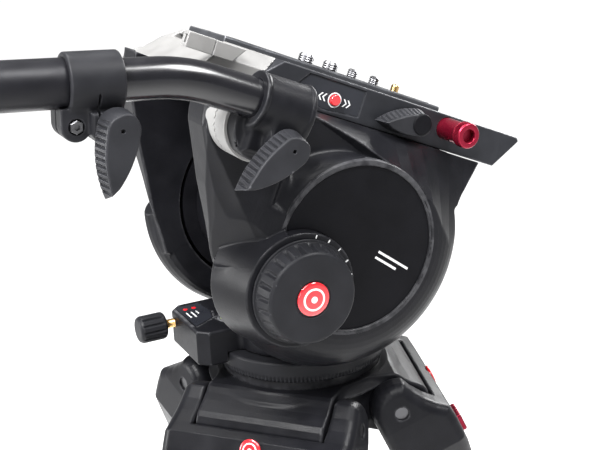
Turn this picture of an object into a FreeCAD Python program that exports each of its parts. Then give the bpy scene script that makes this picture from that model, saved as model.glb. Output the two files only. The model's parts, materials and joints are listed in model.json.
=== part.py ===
import FreeCAD, Part
import math
import os
import re
import Sketcher
from FreeCAD import Placement, Rotation, Vector

# A fluid video head on a three-legged stand. The head is modelled level, around its tilt axis,
# and then stands nose down by tilt_angle. +X is the head's front, +Z is up, and the near side
# (counterbalance knob, pan bar) is -Y. The origin is on the floor under the pan axis.

DIMS = {
    # stance
    "tilt_angle": 23, "leg_angle": 24, "leg_azimuth": -138, "leg_length": 700, "pivot_reach": 51,
    "pivot_drop": 112, "foot_centre_height": 14,
    # crown and its half-ball bowl, heights below the tilt axis
    "rim_drop": 93, "rim_radius": 53, "hub_bottom": 127, "bowl_radius": 49.3, "bowl_depth": 25,
    "bowl_floor": 121, "bowl_base": 40.3, "lobe_width": 80, "lobe_radius": 22, "lobe_root": 20,
    "stud_hole": 17, "seat_radius": 44, "seat_edge": 28, "pin_radius": 4, "pin_inset": 2,
    "turn_gap": 0.05, "flare_radius": 24, "flare_end": 22, "overrun": 1,
    # half ball, stud and knob under the crown
    "ball_radius": 49, "ball_bottom": 112, "flange_top": 88, "neck_radius": 43.8, "neck_top": 76,
    "stud_radius": 6, "stud_top": 100, "stud_end": 188, "cup_edge": 22, "cup_core": 9,
    "cup_bottom": 141, "cup_bevel": 3, "seat_gap": 0.3, "knob_top": 141.5, "knob_end": 205,
    "knob_wide": 23, "knob_grip": 15, "knob_collar": 150, "knob_waist": 13,
    "knob_waist_drop": 162, "knob_round": 6, "knob_lip": 3, "ring_edge": 1,
    # pan drag ring and pan base
    "ring_radius": 52.5, "ring_bottom": 87.8, "ring_top": 75.5, "ring_play": 0.07,
    "table_radius": 44.5, "table_bottom": 75.2, "table_top": 66, "column_half": 36,
    "column_top": 10, "block_rear": 70, "block_front": 30, "block_near": 9, "block_far": 44,
    "block_top": 60, "block_bottom": 82, "block_corner": 6, "level_x": 44, "level_y": 7,
    "level_radius": 7.5, "level_depth": 4, "level_proud": 0.6, "lock_y": 36, "lock_drop": 68,
    "lock_radius": 8.5, "lock_length": 17.5, "lock_neck": 6, "lock_edge": 1.5, "lock_stem": 3,
    "lock_reach": 14,
    # fluid core, axle and cartridges along the tilt axis
    "core_radius": 46, "core_half": 44, "axle_radius": 8, "axle_half": 68, "cartridge_radius": 54,
    "cartridge_in": 46.5, "cartridge_out": 57.5, "cartridge_bore": 8.3,
    # cheeks: distances out from the centre plane, radii about the tilt axis
    "cheek_in": 46, "cavity_out": 58, "wall_out": 59, "cavity_radius": 56, "lip_radius": 68,
    "drum_radius": 76, "drum_belly": 57, "drum_out": 78, "drum_edge": 48.2, "drum_curve": 27,
    "lip_curve": 15, "recess_radius": 46.7, "recess_in": 70, "arm_out": 72, "skirt_out": 64,
    "ridge_out": 64, "shoulder_in": 36, "shoulder_rear": 88, "shoulder_under": 56,
    "deck_under": 64, "cover_radius": 46.5, "cover_in": 70.2, "cover_gap": 0.3, "cover_out": 77,
    # outline of a cheek, x forward and z up from the tilt axis
    "arm_top_x": 108, "arm_mid_x": 104, "arm_mid_z": 44, "arm_low_x": 73, "arm_low_z": 13,
    "arm_root_x": 52, "arm_root_z": 50, "arm_front_x": 58, "arm_waist_x": 50, "arm_waist_z": 12,
    "arm_notch_x": 38, "arm_notch_z": 18, "skirt_top_x": 84, "skirt_low_x": 69, "skirt_low_z": 36,
    "bridge_x": 40, "bridge_mid_x": 5, "bridge_mid_z": 52, "bridge_low_x": 50, "bridge_low_z": 27,
    "bridge_end_z": 12, "slope_in": 46, "slope_mid": 61, "slope_mid_z": 57, "slope_low": 66,
    "slope_low_z": 51, "clear_of_drum": 81,
    # rosettes and knobs
    "rosette_x": 88, "rosette_z": 50, "rosette_radius": 17, "boss_out": 75, "rosette_out": 80,
    "rosette_hole": 2.5, "clamp_flange": 88, "balance_x": 30, "balance_z": 28,
    "housing_radius": 32, "housing_out": 84.5, "dial_in": 85, "dial_flange": 29, "dial_rim": 86.5,
    "dial_radius": 27.5, "dial_neck": 25.5, "dial_edge": 97.5, "dial_out": 99, "dial_face": 24,
    "dial_seat": 73, "dial_stem": 5, "dial_ribs": 24, "rib_radius": 1.5, "rib_low": 88,
    "rib_reach": 27.5, "drag_in": 78.5, "drag_step": 83.5, "drag_edge": 91.5, "drag_out": 93,
    "drag_radius": 31, "drag_face": 28, "drag_top": 26.5, "drag_stem": 6, "drag_seat": 70.5,
    "tilt_lock_x": 60, "tilt_lock_z": 8, "tilt_lock_in": 76.5, "tilt_lock_out": 85,
    "tilt_lock_stem": 4, "tilt_lock_length": 38, "tilt_lock_head": 8.5, "tilt_lock_seat": 59.5,
    # deck, camera plate and what is on them
    "deck_rear": 112, "deck_slope": 91, "stop_rear": 119, "stop_low_front": 91, "stop_front": 85,
    "stop_low": 76, "stop_top": 84.5, "stop_out": 47, "deck_half": 42, "deck_top": 85,
    "nose_x": 111, "nose_z": 83, "nose_top_x": 109, "chin_x": 98, "channel_half": 28,
    "channel_floor": 79, "channel_front": 60, "plate_rear": 90, "plate_front": 58,
    "plate_half": 27.9, "plate_bottom": 79.1, "plate_top": 88, "slot_big_rear": 35,
    "slot_big_front": 1, "slot_small_front": 31, "slot_small_rear": 2.5, "big_screw": 4.7625,
    "small_screw": 3.175, "screw_head": 8, "head_top": 84, "head_bottom": 80.5,
    "screw_proud": 5.5, "neck_cut": 0.6, "slot_play": 0.2, "slot_lip": 5, "head_gap": 0.1,
    "head_edge": 1, "locator_x": 40, "locator_radius": 2.5, "locator_proud": 5, "locator_seat": 3,
    "locator_flange": 3.5, "big_screw_1": 25, "big_screw_2": 8, "small_screw_1": 8,
    "small_screw_2": 24, "plate_lever_x": 31, "plate_lever_z": 75, "plate_lever_in": 44,
    "plate_lever_out": 54, "plate_lever_length": 22, "plate_lever_stem": 4, "plate_lever_head": 8,
    "plate_lever_tip": 4.5, "release_x": 56, "release_z": 77, "release_radius": 6.5,
    "release_out": 66, "release_in": 34, "release_lip": 7.5, "release_step": 58,
    "release_rim": 60, "release_bore": 4, "release_bore_in": 62, "release_end": 28,
    "button_x": 22, "button_z": 73, "button_radius": 3.2, "button_out": 43.5, "button_in": 38,
    "button_hole_in": 36,
    # pan bar: clamp barrel parallel to the deck, one bend, then the telescopic part
    "bar_y": 100, "bar_z": 63, "bar_radius": 10, "bar_wall": 1.5, "barrel_radius": 14,
    "barrel_front": 71, "barrel_rear": 99, "bar_front": 73, "bend_x": 122, "web_out": 104,
    "web_in": 84, "web_half": 9, "web_low_z": 38, "web_high_z": 57, "web_front_x": 77,
    "web_rear_x": 97, "clamp_lug_depth": 2, "lock_lug_x": 19, "lock_lug_z": 22, "lug_step": 34,
    "lug_end": 42, "lug_root": 13.5, "collar_edge": 1.5, "bend_radius": 90, "bend_angle": 19,
    "straight_length": 215, "sleeve_radius": 11.5, "sleeve_start": 24, "sleeve_length": 280,
    "collar_start": 16, "collar_length": 28, "collar_radius": 15.5, "grip_start": 205,
    "grip_length": 105, "grip_radius": 15, "grip_edge": 2, "grip_round": 5, "lug_drop": 26,
    "clamp_lug_half": 10.8, "lock_lug_half": 12.4, "clamp_lever_x": 80, "clamp_lever_z": 45,
    "lever_gap": 0.5, "lever_thick": 10, "big_lever_length": 27.5, "big_lever_stem": 10,
    "screw_depth": 3, "big_lever_head": 8.5, "big_lever_tip": 4.5, "lever_stem": 4,
    "lever_screw": 2, "lever_edge": 1.5, "swing_gap": 0.4,
    # legs, in each leg's own frame: z runs up along the leg from its hinge pin
    "yoke_half": 58, "yoke_slot": 41, "arm_radius": 17, "shield_out": 28.5, "shield_gap": 0.6,
    "shield_top": 4, "yoke_waist": 40, "yoke_end": 110, "yoke_back": 20, "shield_edge": 10,
    "waist_high": 31, "waist_low": 104, "socket_root": 70, "socket_radius": 23, "socket_half": 24,
    "socket_end": 120, "tube_radius": 18, "tube_wall": 2, "tube_top": 78, "tube_end": 560,
    "leg_lock_top": 530, "leg_lock_end": 605, "leg_lock_radius": 23, "inner_tube_radius": 14,
    "inner_tube_top": 140, "inner_tube_end": 682, "inner_tube_wall": 1.5, "hinge_out": 29,
    "hinge_radius": 6, "ear_top": 545, "ear_end": 595, "ear_thick": 6, "flip_in": 23.8,
    "flip_out": 28.5, "flip_pin": 2.5, "flip_near": 3, "flip_mid": 62, "flip_far": 105,
    "flip_root": 30.5, "flip_lip": 31.5, "lock_edge_out": 3, "lock_cone": 4, "lock_mouth": 19.5,
    "ear_root": 20, "pin_end": 1, "selector_z": 54, "selector_half_y": 9, "selector_half_z": 6,
    "selector_in": 12, "selector_seat": 8, "selector_out": 33, "selector_play": 0.3,
    "foot_radius": 18, "foot_collar": 17.5, "foot_top": 652,
}

doc = FreeCAD.newDocument("video_head_on_tripod")
sheet = doc.addObject("Spreadsheet::Sheet", "dims")
for row, (alias, value) in enumerate(DIMS.items(), 1):
    sheet.set(f"A{row}", alias)
    sheet.set(f"B{row}", str(value))
    sheet.setAlias(f"B{row}", alias)
doc.recompute()

ALIAS = re.compile(r"\b(" + "|".join(DIMS) + r")\b")
ORIGIN = Vector(0, 0, 0)
X_DIR = Vector(1, 0, 0)
Y_DIR = Vector(0, 1, 0)
Z_DIR = Vector(0, 0, 1)
NEAR = -1
FAR = 1
PLATE_LEVER_ANGLE = 192
TILT_LOCK_ANGLE = -60
CLAMP_LEVER_ANGLE = 233
LOCK_LEVER_ANGLE = 169
finished = []


def bound(expression):
    """The expression with each sheet alias written as the sheet's cell."""
    return ALIAS.sub(r"dims.\1", str(expression))


def size(expression):
    """The expression's value in millimetres or degrees."""
    return float(sheet.evalExpression(bound(expression)))


def at(x, y, z, rotation=None):
    return Placement(Vector(size(x), size(y), size(z)), rotation or Rotation())


def facing(x, y, z, x_dir, z_dir):
    """A placement at x, y, z whose own X and Z axes point along x_dir and z_dir."""
    x_dir = Vector(x_dir).normalize()
    z_dir = Vector(z_dir).normalize()
    matrix = FreeCAD.Matrix(*[value for row in zip(x_dir, z_dir.cross(x_dir), z_dir, ORIGIN)
                              for value in row], 0, 0, 0, 1)
    return Placement(Vector(size(x), size(y), size(z)), Placement(matrix).Rotation)


def turn(axis, degrees):
    return Placement(ORIGIN, Rotation(axis, degrees))


def new_body(label, place):
    body = doc.addObject("PartDesign::Body", label)
    body.Label = label
    body.Placement = place
    finished.append(body)
    return body


def sketch_on(body, plane, offset="0"):
    sketch = body.newObject("Sketcher::SketchObject", body.Name + "_sketch")
    origin_plane = [item for item in body.Origin.OriginFeatures if item.Role == plane][0]
    sketch.AttachmentSupport = (origin_plane, [""])
    sketch.MapMode = "FlatFace"
    sketch.setExpression("AttachmentOffset.Base.z", bound(offset))
    return sketch


def hold(sketch, constraint, name, expression):
    """Add a constraint and bind its value to the sheet."""
    index = sketch.addConstraint(constraint)
    sketch.renameConstraint(index, name)
    sketch.setExpression("Constraints." + name, bound(expression))


def add_circle(sketch, x, y, radius):
    centre = Vector(size(x), size(y), 0)
    index = sketch.addGeometry(Part.Circle(centre, Z_DIR, size(radius)))
    hold(sketch, Sketcher.Constraint("Radius", index, size(radius)), f"radius{index}", radius)
    hold(sketch, Sketcher.Constraint("DistanceX", -1, 1, index, 3, centre.x), f"x{index}", x)
    hold(sketch, Sketcher.Constraint("DistanceY", -1, 1, index, 3, centre.y), f"y{index}", y)


def arc_between(start, end, radius):
    """The short arc from start to end; a positive radius bends to the right of the way."""
    chord = end - start
    half = chord.Length / 2
    side = Vector(chord.y, -chord.x, 0).normalize()
    reach = math.sqrt(max(radius * radius - half * half, 0))
    sign = 1 if radius > 0 else -1
    centre = (start + end) * 0.5 + side * (sign * reach)
    middle = centre - side * (sign * abs(radius))
    return Part.Arc(start, middle, end)


def add_outline(sketch, corners):
    """A closed outline through (x, y) corners; a third value makes the next edge an arc."""
    points = [Vector(size(corner[0]), size(corner[1]), 0) for corner in corners]
    ends = []
    for number, corner in enumerate(corners):
        start = points[number]
        end = points[(number + 1) % len(points)]
        if len(corner) == 2:
            index = sketch.addGeometry(Part.LineSegment(start, end))
            ends.append((index, 1, 2))
            continue
        index = sketch.addGeometry(arc_between(start, end, size(corner[2])))
        forward = sketch.getPoint(index, 1).distanceToPoint(start) < 1e-6
        ends.append((index, 1, 2) if forward else (index, 2, 1))
        radius = size(corner[2])
        text = corner[2] if radius > 0 else f"-({corner[2]})"
        hold(sketch, Sketcher.Constraint("Radius", index, abs(radius)), f"radius{index}", text)
    for number, (index, first, last) in enumerate(ends):
        following, its_first, unused = ends[(number + 1) % len(ends)]
        sketch.addConstraint(Sketcher.Constraint("Coincident", index, last, following, its_first))
        x, y = corners[number][0], corners[number][1]
        spot = points[number]
        hold(sketch, Sketcher.Constraint("DistanceX", -1, 1, index, first, spot.x), f"x{index}", x)
        hold(sketch, Sketcher.Constraint("DistanceY", -1, 1, index, first, spot.y), f"y{index}", y)


def shape_feature(body, kind, sketch, length, midplane=False, reverse=False):
    feature = body.newObject("PartDesign::" + kind, body.Name + "_" + kind.lower())
    feature.Profile = sketch
    feature.setExpression("Length", bound(length))
    feature.Midplane = midplane
    feature.Reversed = reverse
    return feature


def pad(body, plane, corners, length, offset="0", midplane=False, reverse=False):
    """Pad an outline, or a list of circles when corners holds (x, y, radius) circles."""
    sketch = sketch_on(body, plane, offset)
    add_outline(sketch, corners)
    return shape_feature(body, "Pad", sketch, length, midplane, reverse)


def pad_disc(body, plane, x, y, radius, length, offset="0", midplane=False, reverse=False):
    sketch = sketch_on(body, plane, offset)
    add_circle(sketch, x, y, radius)
    return shape_feature(body, "Pad", sketch, length, midplane, reverse)


def cut(body, plane, corners, length, offset="0", midplane=False, reverse=False):
    sketch = sketch_on(body, plane, offset)
    add_outline(sketch, corners)
    return shape_feature(body, "Pocket", sketch, length, midplane, reverse)


def cut_disc(body, plane, x, y, radius, length, offset="0", midplane=False, reverse=False):
    sketch = sketch_on(body, plane, offset)
    add_circle(sketch, x, y, radius)
    return shape_feature(body, "Pocket", sketch, length, midplane, reverse)


def spin(body, plane, corners, kind="Revolution"):
    """Revolve an outline about its sketch's vertical axis, to add or to cut."""
    sketch = sketch_on(body, plane)
    add_outline(sketch, corners)
    feature = body.newObject("PartDesign::" + kind, body.Name + "_" + kind.lower())
    feature.Profile = sketch
    feature.ReferenceAxis = (sketch, ["V_Axis"])
    feature.Angle = 360
    return feature


def around(body, features, count):
    """Repeat features evenly about the body's Z axis."""
    pattern = body.newObject("PartDesign::PolarPattern", body.Name + "_pattern")
    pattern.Originals = features
    axis = [item for item in body.Origin.OriginFeatures if item.Role == "Z_Axis"][0]
    pattern.Axis = (axis, [""])
    pattern.Angle = 360
    pattern.setExpression("Occurrences", bound(count))
    body.Tip = pattern
    return pattern


def soften(body, radius, chosen):
    """Fillet the edges of the body's last feature that chosen(edge) picks."""
    doc.recompute()
    base = body.Tip
    names = [f"Edge{number}" for number, edge in enumerate(base.Shape.Edges, 1) if chosen(edge)]
    fillet = body.newObject("PartDesign::Fillet", body.Name + "_fillet")
    fillet.Base = (base, names)
    fillet.setExpression("Radius", bound(radius))
    return fillet


def turned(label, place, corners):
    """A round piece about its own Z axis, from (radius, height) corners."""
    body = new_body(label, place)
    spin(body, "XZ_Plane", corners)
    return body


def ring_corners(inner, outer, low, high):
    return [(inner, low), (outer, low), (outer, high), (inner, high)]


AXIS_HEIGHT = "(foot_centre_height + leg_length * cos(leg_angle * 1 deg) + pivot_drop)"
level = at("0", "0", AXIS_HEIGHT)
tilted = level * turn(Y_DIR, size("tilt_angle"))
stand = level * turn(Z_DIR, size("leg_azimuth"))


# ---------------------------------------------------------------- crown and half ball

def make_crown():
    crown = new_body("crown", stand)
    spin(crown, "XZ_Plane", [("0", "-hub_bottom"), ("rim_radius", "-hub_bottom"),
                             ("rim_radius", "-rim_drop"), ("0", "-rim_drop")])
    half = "lobe_radius * sqrt(0.5)"
    lobe = pad(crown, "XZ_Plane",
               [("lobe_root", "-hub_bottom"), ("lobe_root", "-rim_drop - overrun"),
                ("rim_radius - overrun", "-rim_drop - overrun", "-flare_radius"),
                ("pivot_reach + lobe_radius * cos(flare_end * 1 deg)",
                 "-pivot_drop + lobe_radius * sin(flare_end * 1 deg)", "lobe_radius"),
                ("pivot_reach + lobe_radius", "-pivot_drop", "lobe_radius"),
                (f"pivot_reach + {half}", f"-pivot_drop - {half}", "lobe_radius"),
                ("pivot_reach", "-pivot_drop - lobe_radius"),
                ("pivot_reach - lobe_radius", "-hub_bottom")],
               "lobe_width", midplane=True)
    bore = cut_disc(crown, "XZ_Plane", "pivot_reach", "-pivot_drop", "pin_radius",
                    "lobe_width + 2 * overrun", midplane=True)
    around(crown, [lobe, bore], "3")
    bowl = "rim_drop + bowl_depth"
    spin(crown, "XZ_Plane",
         [("0", "-rim_drop + overrun"), ("0", "-hub_bottom - overrun"),
          ("stud_hole", "-hub_bottom - overrun"),
          ("stud_hole", "-bowl_floor"), ("bowl_base", "-bowl_floor"),
          ("sqrt(bowl_radius^2 - bowl_depth^2)", f"-({bowl})", "-bowl_radius"),
          ("bowl_radius", "-rim_drop"), ("bowl_radius", "-rim_drop + overrun")], "Groove")
    seat = "-rim_drop - sqrt(seat_radius^2 - {0}^2)"
    spin(crown, "XZ_Plane",
         [("stud_hole", "-bowl_floor - overrun"), ("stud_hole", seat.format("stud_hole"), "-seat_radius"),
          ("seat_edge", seat.format("seat_edge")), ("seat_edge", "-bowl_floor - overrun")])
    return crown


def make_leg_pins():
    pins = []
    for number in range(3):
        pin = doc.addObject("Part::Cylinder", f"leg_pin_{number + 1}")
        pin.setExpression("Radius", bound("pin_radius"))
        pin.setExpression("Height", bound("2 * (yoke_half - pin_inset)"))
        pin.Placement = (stand * turn(Z_DIR, 120 * number)
                         * facing("pivot_reach", "pin_inset - yoke_half", "-pivot_drop", X_DIR, Y_DIR))
        pins.append(pin)
    group = doc.addObject("Part::Compound", "leg_hinge_pins")
    group.Links = pins
    finished.append(group)


def make_ball():
    edge = "sqrt(ball_radius^2 - (ball_bottom - rim_drop)^2)"
    turned("half_ball", level,
           [("0", "-stud_top"), ("stud_radius", "-stud_top"), ("stud_radius", "-ball_bottom"),
            (edge, "-ball_bottom", "-ball_radius"), ("ball_radius", "-rim_drop"),
            ("ball_radius", "-flange_top"), ("neck_radius", "-flange_top"),
            ("neck_radius", "-neck_top"), ("0", "-neck_top")])
    turned("ball_stud", level, ring_corners("0", "stud_radius", "-stud_end", "-stud_top"))
    cup = "-rim_drop - sqrt((seat_radius + seat_gap)^2 - {0}^2)"
    turned("clamp_cup", level,
           [("stud_radius", "-cup_bottom"), ("cup_edge - cup_bevel", "-cup_bottom"),
            ("cup_edge", "-cup_bottom + cup_bevel"),
            ("cup_edge", cup.format("cup_edge"), "seat_radius + seat_gap"),
            ("cup_core", cup.format("cup_core")), ("stud_radius", cup.format("cup_core"))])
    turned("ball_clamp_knob", level,
           [("0", "-knob_end"), ("knob_grip - 4", "-knob_end", "-knob_round"),
            ("knob_grip", "-knob_end + 5"), ("knob_waist", "-knob_waist_drop", "8"),
            ("knob_wide", "-knob_collar"), ("knob_wide", "-knob_top - knob_lip", "-knob_lip"),
            ("knob_wide - knob_lip", "-knob_top"), ("stud_radius + turn_gap", "-knob_top"),
            ("stud_radius + turn_gap", "-stud_end - overrun"), ("0", "-stud_end - overrun")])


# ---------------------------------------------------------------- legs

def make_yoke(number, place):
    yoke = new_body(f"leg_{number}_yoke", place)
    half = "arm_radius * sqrt(0.5)"
    pad(yoke, "XZ_Plane",
        [("-arm_radius", "0", "arm_radius"), ("0", "arm_radius", "arm_radius"),
         (half, half), ("shield_out", "-shield_edge"), ("shield_out", "-yoke_waist"),
         ("socket_radius", "-yoke_end"), ("-yoke_back", "-yoke_end"),
         ("-arm_radius", "-yoke_waist")],
        "2 * yoke_half", midplane=True)
    inner = "(lobe_radius + shield_gap)"
    cut(yoke, "XZ_Plane",
        [("-yoke_half", "yoke_half"), ("yoke_half", "yoke_half"), ("yoke_half", "-shield_top"),
         (f"sqrt({inner}^2 - shield_top^2)", "-shield_top", inner), ("0", f"-{inner}"),
         ("-yoke_half", f"-{inner}")],
        "2 * yoke_slot", midplane=True)
    for side in ("", "-"):
        cut(yoke, "YZ_Plane",
            [(f"{side}(yoke_half + overrun)", "-waist_high"), (f"{side}yoke_half", "-waist_high"),
             (f"{side}socket_half", "-waist_low"), (f"{side}socket_half", "-yoke_end - overrun"),
             (f"{side}(yoke_half + overrun)", "-yoke_end - overrun")],
            "4 * yoke_half", midplane=True)
    pad_disc(yoke, "XY_Plane", "0", "0", "socket_radius", "socket_end - socket_root",
             offset="-socket_end")
    cut_disc(yoke, "XY_Plane", "0", "0", "tube_radius",
             "socket_end - tube_top + overrun", offset="-socket_end - overrun", reverse=True)
    cut_disc(yoke, "XZ_Plane", "0", "0", "pin_radius + turn_gap", "2 * (yoke_half + overrun)",
             midplane=True)
    high = "-selector_z + selector_half_z + selector_play"
    low = "-selector_z - selector_half_z - selector_play"
    side = "selector_half_y + selector_play"
    cut(yoke, "YZ_Plane", [(f"-({side})", low), (side, low), (side, high), (f"-({side})", high)],
        "shield_out - selector_seat + overrun", offset="selector_seat", reverse=True)
    return yoke


def make_selector(number, place):
    selector = new_body(f"leg_{number}_angle_catch", place)
    high = "-selector_z + selector_half_z"
    low = "-selector_z - selector_half_z"
    pad(selector, "YZ_Plane", [("-selector_half_y", low), ("selector_half_y", low),
                               ("selector_half_y", high), ("-selector_half_y", high)],
        "selector_out - selector_in", offset="selector_in")


def make_tubes(number, place):
    turned(f"leg_{number}_upper_tube", place,
           ring_corners("tube_radius - tube_wall", "tube_radius", "-tube_end", "-tube_top"))
    turned(f"leg_{number}_lower_tube", place,
           ring_corners("inner_tube_radius - inner_tube_wall", "inner_tube_radius",
                        "-inner_tube_end", "-inner_tube_top"))


def make_leg_lock(number, place):
    lock = new_body(f"leg_{number}_lock", place)
    bushing = "inner_tube_radius + turn_gap"
    spin(lock, "XZ_Plane",
         [(bushing, "-leg_lock_end"), ("leg_lock_radius - lock_edge_out", "-leg_lock_end"),
          ("leg_lock_radius", "-leg_lock_end + lock_edge_out"),
          ("leg_lock_radius", "-leg_lock_top - lock_cone"),
          ("lock_mouth", "-leg_lock_top"), ("tube_radius", "-leg_lock_top"),
          ("tube_radius", "-tube_end"), (bushing, "-tube_end")])
    for low in ("-ear_end", "-ear_top - ear_thick"):
        pad(lock, "XY_Plane",
            [("ear_root", "-hinge_radius"), ("hinge_out", "-hinge_radius", "-hinge_radius"),
             ("hinge_out + hinge_radius", "0", "-hinge_radius"),
             ("hinge_out", "hinge_radius"), ("ear_root", "hinge_radius")],
            "ear_thick", offset=low)
    pad_disc(lock, "XY_Plane", "hinge_out", "0", "flip_pin",
             "ear_end - ear_top - 2 * pin_end", offset="-ear_end + pin_end")


def make_flip_lever(number, place):
    lever = new_body(f"leg_{number}_lock_lever", place)
    tall = "ear_end - ear_top - 2 * ear_thick - 2 * swing_gap"
    start = "-ear_end + ear_thick + swing_gap"
    pad_disc(lever, "XY_Plane", "hinge_out", "0", "hinge_radius - 1", tall, offset=start)
    near_deg = "flip_near * 1 deg"
    mid_deg = "flip_mid * 1 deg"
    far_deg = "flip_far * 1 deg"
    pad(lever, "XY_Plane",
        [(f"flip_in * cos({near_deg})", f"flip_in * sin({near_deg})", "-flip_in"),
         (f"flip_in * cos({mid_deg})", f"flip_in * sin({mid_deg})", "-flip_in"),
         (f"flip_in * cos({far_deg})", f"flip_in * sin({far_deg})"),
         (f"flip_lip * cos({far_deg})", f"flip_lip * sin({far_deg})"),
         (f"flip_out * cos({mid_deg})", f"flip_out * sin({mid_deg})", "flip_out"),
         (f"flip_root * cos({near_deg})", f"flip_root * sin({near_deg})")],
        tall, offset=start)
    cut_disc(lever, "XY_Plane", "hinge_out", "0", "flip_pin + turn_gap",
             "2 * (ear_end - ear_top)", midplane=True,
             offset="-(ear_end + ear_top) / 2")


def make_foot(number, place):
    ball = doc.addObject("Part::Sphere", f"leg_{number}_foot_ball")
    ball.setExpression("Radius", bound("foot_radius"))
    ball.Placement = place * at("0", "0", "-leg_length")
    collar = doc.addObject("Part::Cylinder", f"leg_{number}_foot_collar")
    collar.setExpression("Radius", bound("foot_collar"))
    collar.setExpression("Height", bound("leg_length - foot_top"))
    collar.Placement = place * at("0", "0", "-leg_length")
    both = doc.addObject("Part::Fuse", f"leg_{number}_foot_both")
    both.Base = ball
    both.Tool = collar
    socket = doc.addObject("Part::Cylinder", f"leg_{number}_foot_socket")
    socket.setExpression("Radius", bound("inner_tube_radius"))
    socket.setExpression("Height", bound("inner_tube_end - foot_top + overrun"))
    socket.Placement = place * at("0", "0", "-inner_tube_end")
    hollow = doc.addObject("Part::Cut", f"leg_{number}_foot_hollow")
    hollow.Base = both
    hollow.Tool = socket
    ground = doc.addObject("Part::Box", f"leg_{number}_ground")
    reach = "2 * leg_length"
    ground.setExpression("Length", bound(f"2 * {reach}"))
    ground.setExpression("Width", bound(f"2 * {reach}"))
    ground.setExpression("Height", bound("4 * foot_radius"))
    ground.Placement = at(f"-{reach}", f"-{reach}", "-4 * foot_radius")
    foot = doc.addObject("Part::Cut", f"leg_{number}_foot")
    foot.Base = hollow
    foot.Tool = ground
    finished.append(foot)


def make_leg(number):
    spot = at("pivot_reach", "0", "-pivot_drop", Rotation(Y_DIR, -size("leg_angle")))
    place = stand * turn(Z_DIR, 120 * (number - 1)) * spot
    make_yoke(number, place)
    make_selector(number, place)
    make_tubes(number, place)
    make_leg_lock(number, place)
    make_flip_lever(number, place)
    make_foot(number, place)


# ---------------------------------------------------------------- pan base and fluid core

def make_pan_parts():
    turned("pan_drag_ring", level,
           [("neck_radius + ring_play", "-ring_bottom"), ("ring_radius - ring_edge", "-ring_bottom"),
            ("ring_radius", "-ring_bottom + ring_edge"), ("ring_radius", "-ring_top - ring_edge"),
            ("ring_radius - ring_edge", "-ring_top"), ("neck_radius + ring_play", "-ring_top")])
    base = new_body("pan_base", level)
    spin(base, "XZ_Plane", ring_corners("0", "table_radius", "-table_bottom", "-table_top"))
    pad(base, "XY_Plane", [("-column_half", "-column_half"), ("column_half", "-column_half"),
                           ("column_half", "column_half"), ("-column_half", "column_half")],
        "table_top - column_top", offset="-table_top")
    cut_disc(base, "XZ_Plane", "0", "0", "core_radius", "4 * core_half", midplane=True)
    corner = "block_corner"
    pad(base, "XY_Plane",
        [("-block_front", "-block_near"), ("-block_rear + block_corner", "-block_near", "block_corner"),
         ("-block_rear", f"-block_near + {corner}"), ("-block_rear", f"block_far - {corner}",
                                                      "block_corner"),
         (f"-block_rear + {corner}", "block_far"), ("-block_front", "block_far")],
        "block_bottom - block_top", offset="-block_bottom")
    cut_disc(base, "XY_Plane", "0", "0", "ring_radius + overrun", "block_bottom - table_bottom + overrun",
             offset="-table_bottom")
    cut_disc(base, "XY_Plane", "-level_x", "level_y", "level_radius", "level_depth",
             offset="-block_top")
    cut_disc(base, "YZ_Plane", "lock_y", "-lock_drop", "lock_stem + turn_gap", "lock_reach + overrun",
             offset="-block_rear", reverse=True)
    turned("bubble_level", level * at("-level_x", "level_y", "-block_top"),
           ring_corners("0", "level_radius", "-level_depth", "level_proud"))
    lock = facing("-block_rear", "lock_y", "-lock_drop", Y_DIR, -X_DIR)
    turned("pan_lock_knob", level * lock,
           [("0", "-lock_reach"), ("lock_stem", "-lock_reach"), ("lock_stem", "lock_neck"),
            ("lock_radius - lock_edge", "lock_neck"), ("lock_radius", "lock_neck + lock_edge"),
            ("lock_radius", "lock_neck + lock_length - lock_edge"),
            ("lock_radius - lock_edge", "lock_neck + lock_length"), ("0", "lock_neck + lock_length")])


def make_core():
    sideways = level * facing("0", "0", "0", X_DIR, Y_DIR)
    turned("tilt_core", sideways,
           ring_corners("axle_radius", "core_radius", "-core_half", "core_half"))
    turned("tilt_axle", sideways, ring_corners("0", "axle_radius", "-axle_half", "axle_half"))
    for label, side in (("spring_cartridge", NEAR), ("drag_cartridge", FAR)):
        outward = tilted * facing("0", "0", "0", X_DIR, Y_DIR * side)
        turned(label, outward, ring_corners("cartridge_bore", "cartridge_radius",
                                            "cartridge_in", "cartridge_out"))


# ---------------------------------------------------------------- cheeks

def side_pad(body, side, corners, inner, outer):
    """Pad a cheek outline, seen from the near side, between two distances from the middle."""
    offset = f"{-side} * ({inner})"
    return pad(body, "XZ_Plane", corners, f"{outer} - ({inner})", offset=offset, reverse=side > 0)


def side_disc(body, side, x, z, radius, inner, outer):
    offset = f"{-side} * ({inner})"
    return pad_disc(body, "XZ_Plane", x, z, radius, f"{outer} - ({inner})", offset=offset,
                    reverse=side > 0)


def side_pocket(body, side, corners, inner, outer):
    """Cut a cheek outline inwards from the outer to the inner distance from the middle."""
    offset = f"{-side} * ({outer})"
    return cut(body, "XZ_Plane", corners, f"{outer} - ({inner})", offset=offset,
               reverse=side > 0)


def side_hole(body, side, x, z, radius, inner, outer):
    """Cut a round hole inwards from the outer to the inner distance from the middle."""
    offset = f"{-side} * ({outer})"
    return cut_disc(body, "XZ_Plane", x, z, radius, f"{outer} - ({inner})", offset=offset,
                    reverse=side > 0)


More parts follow.
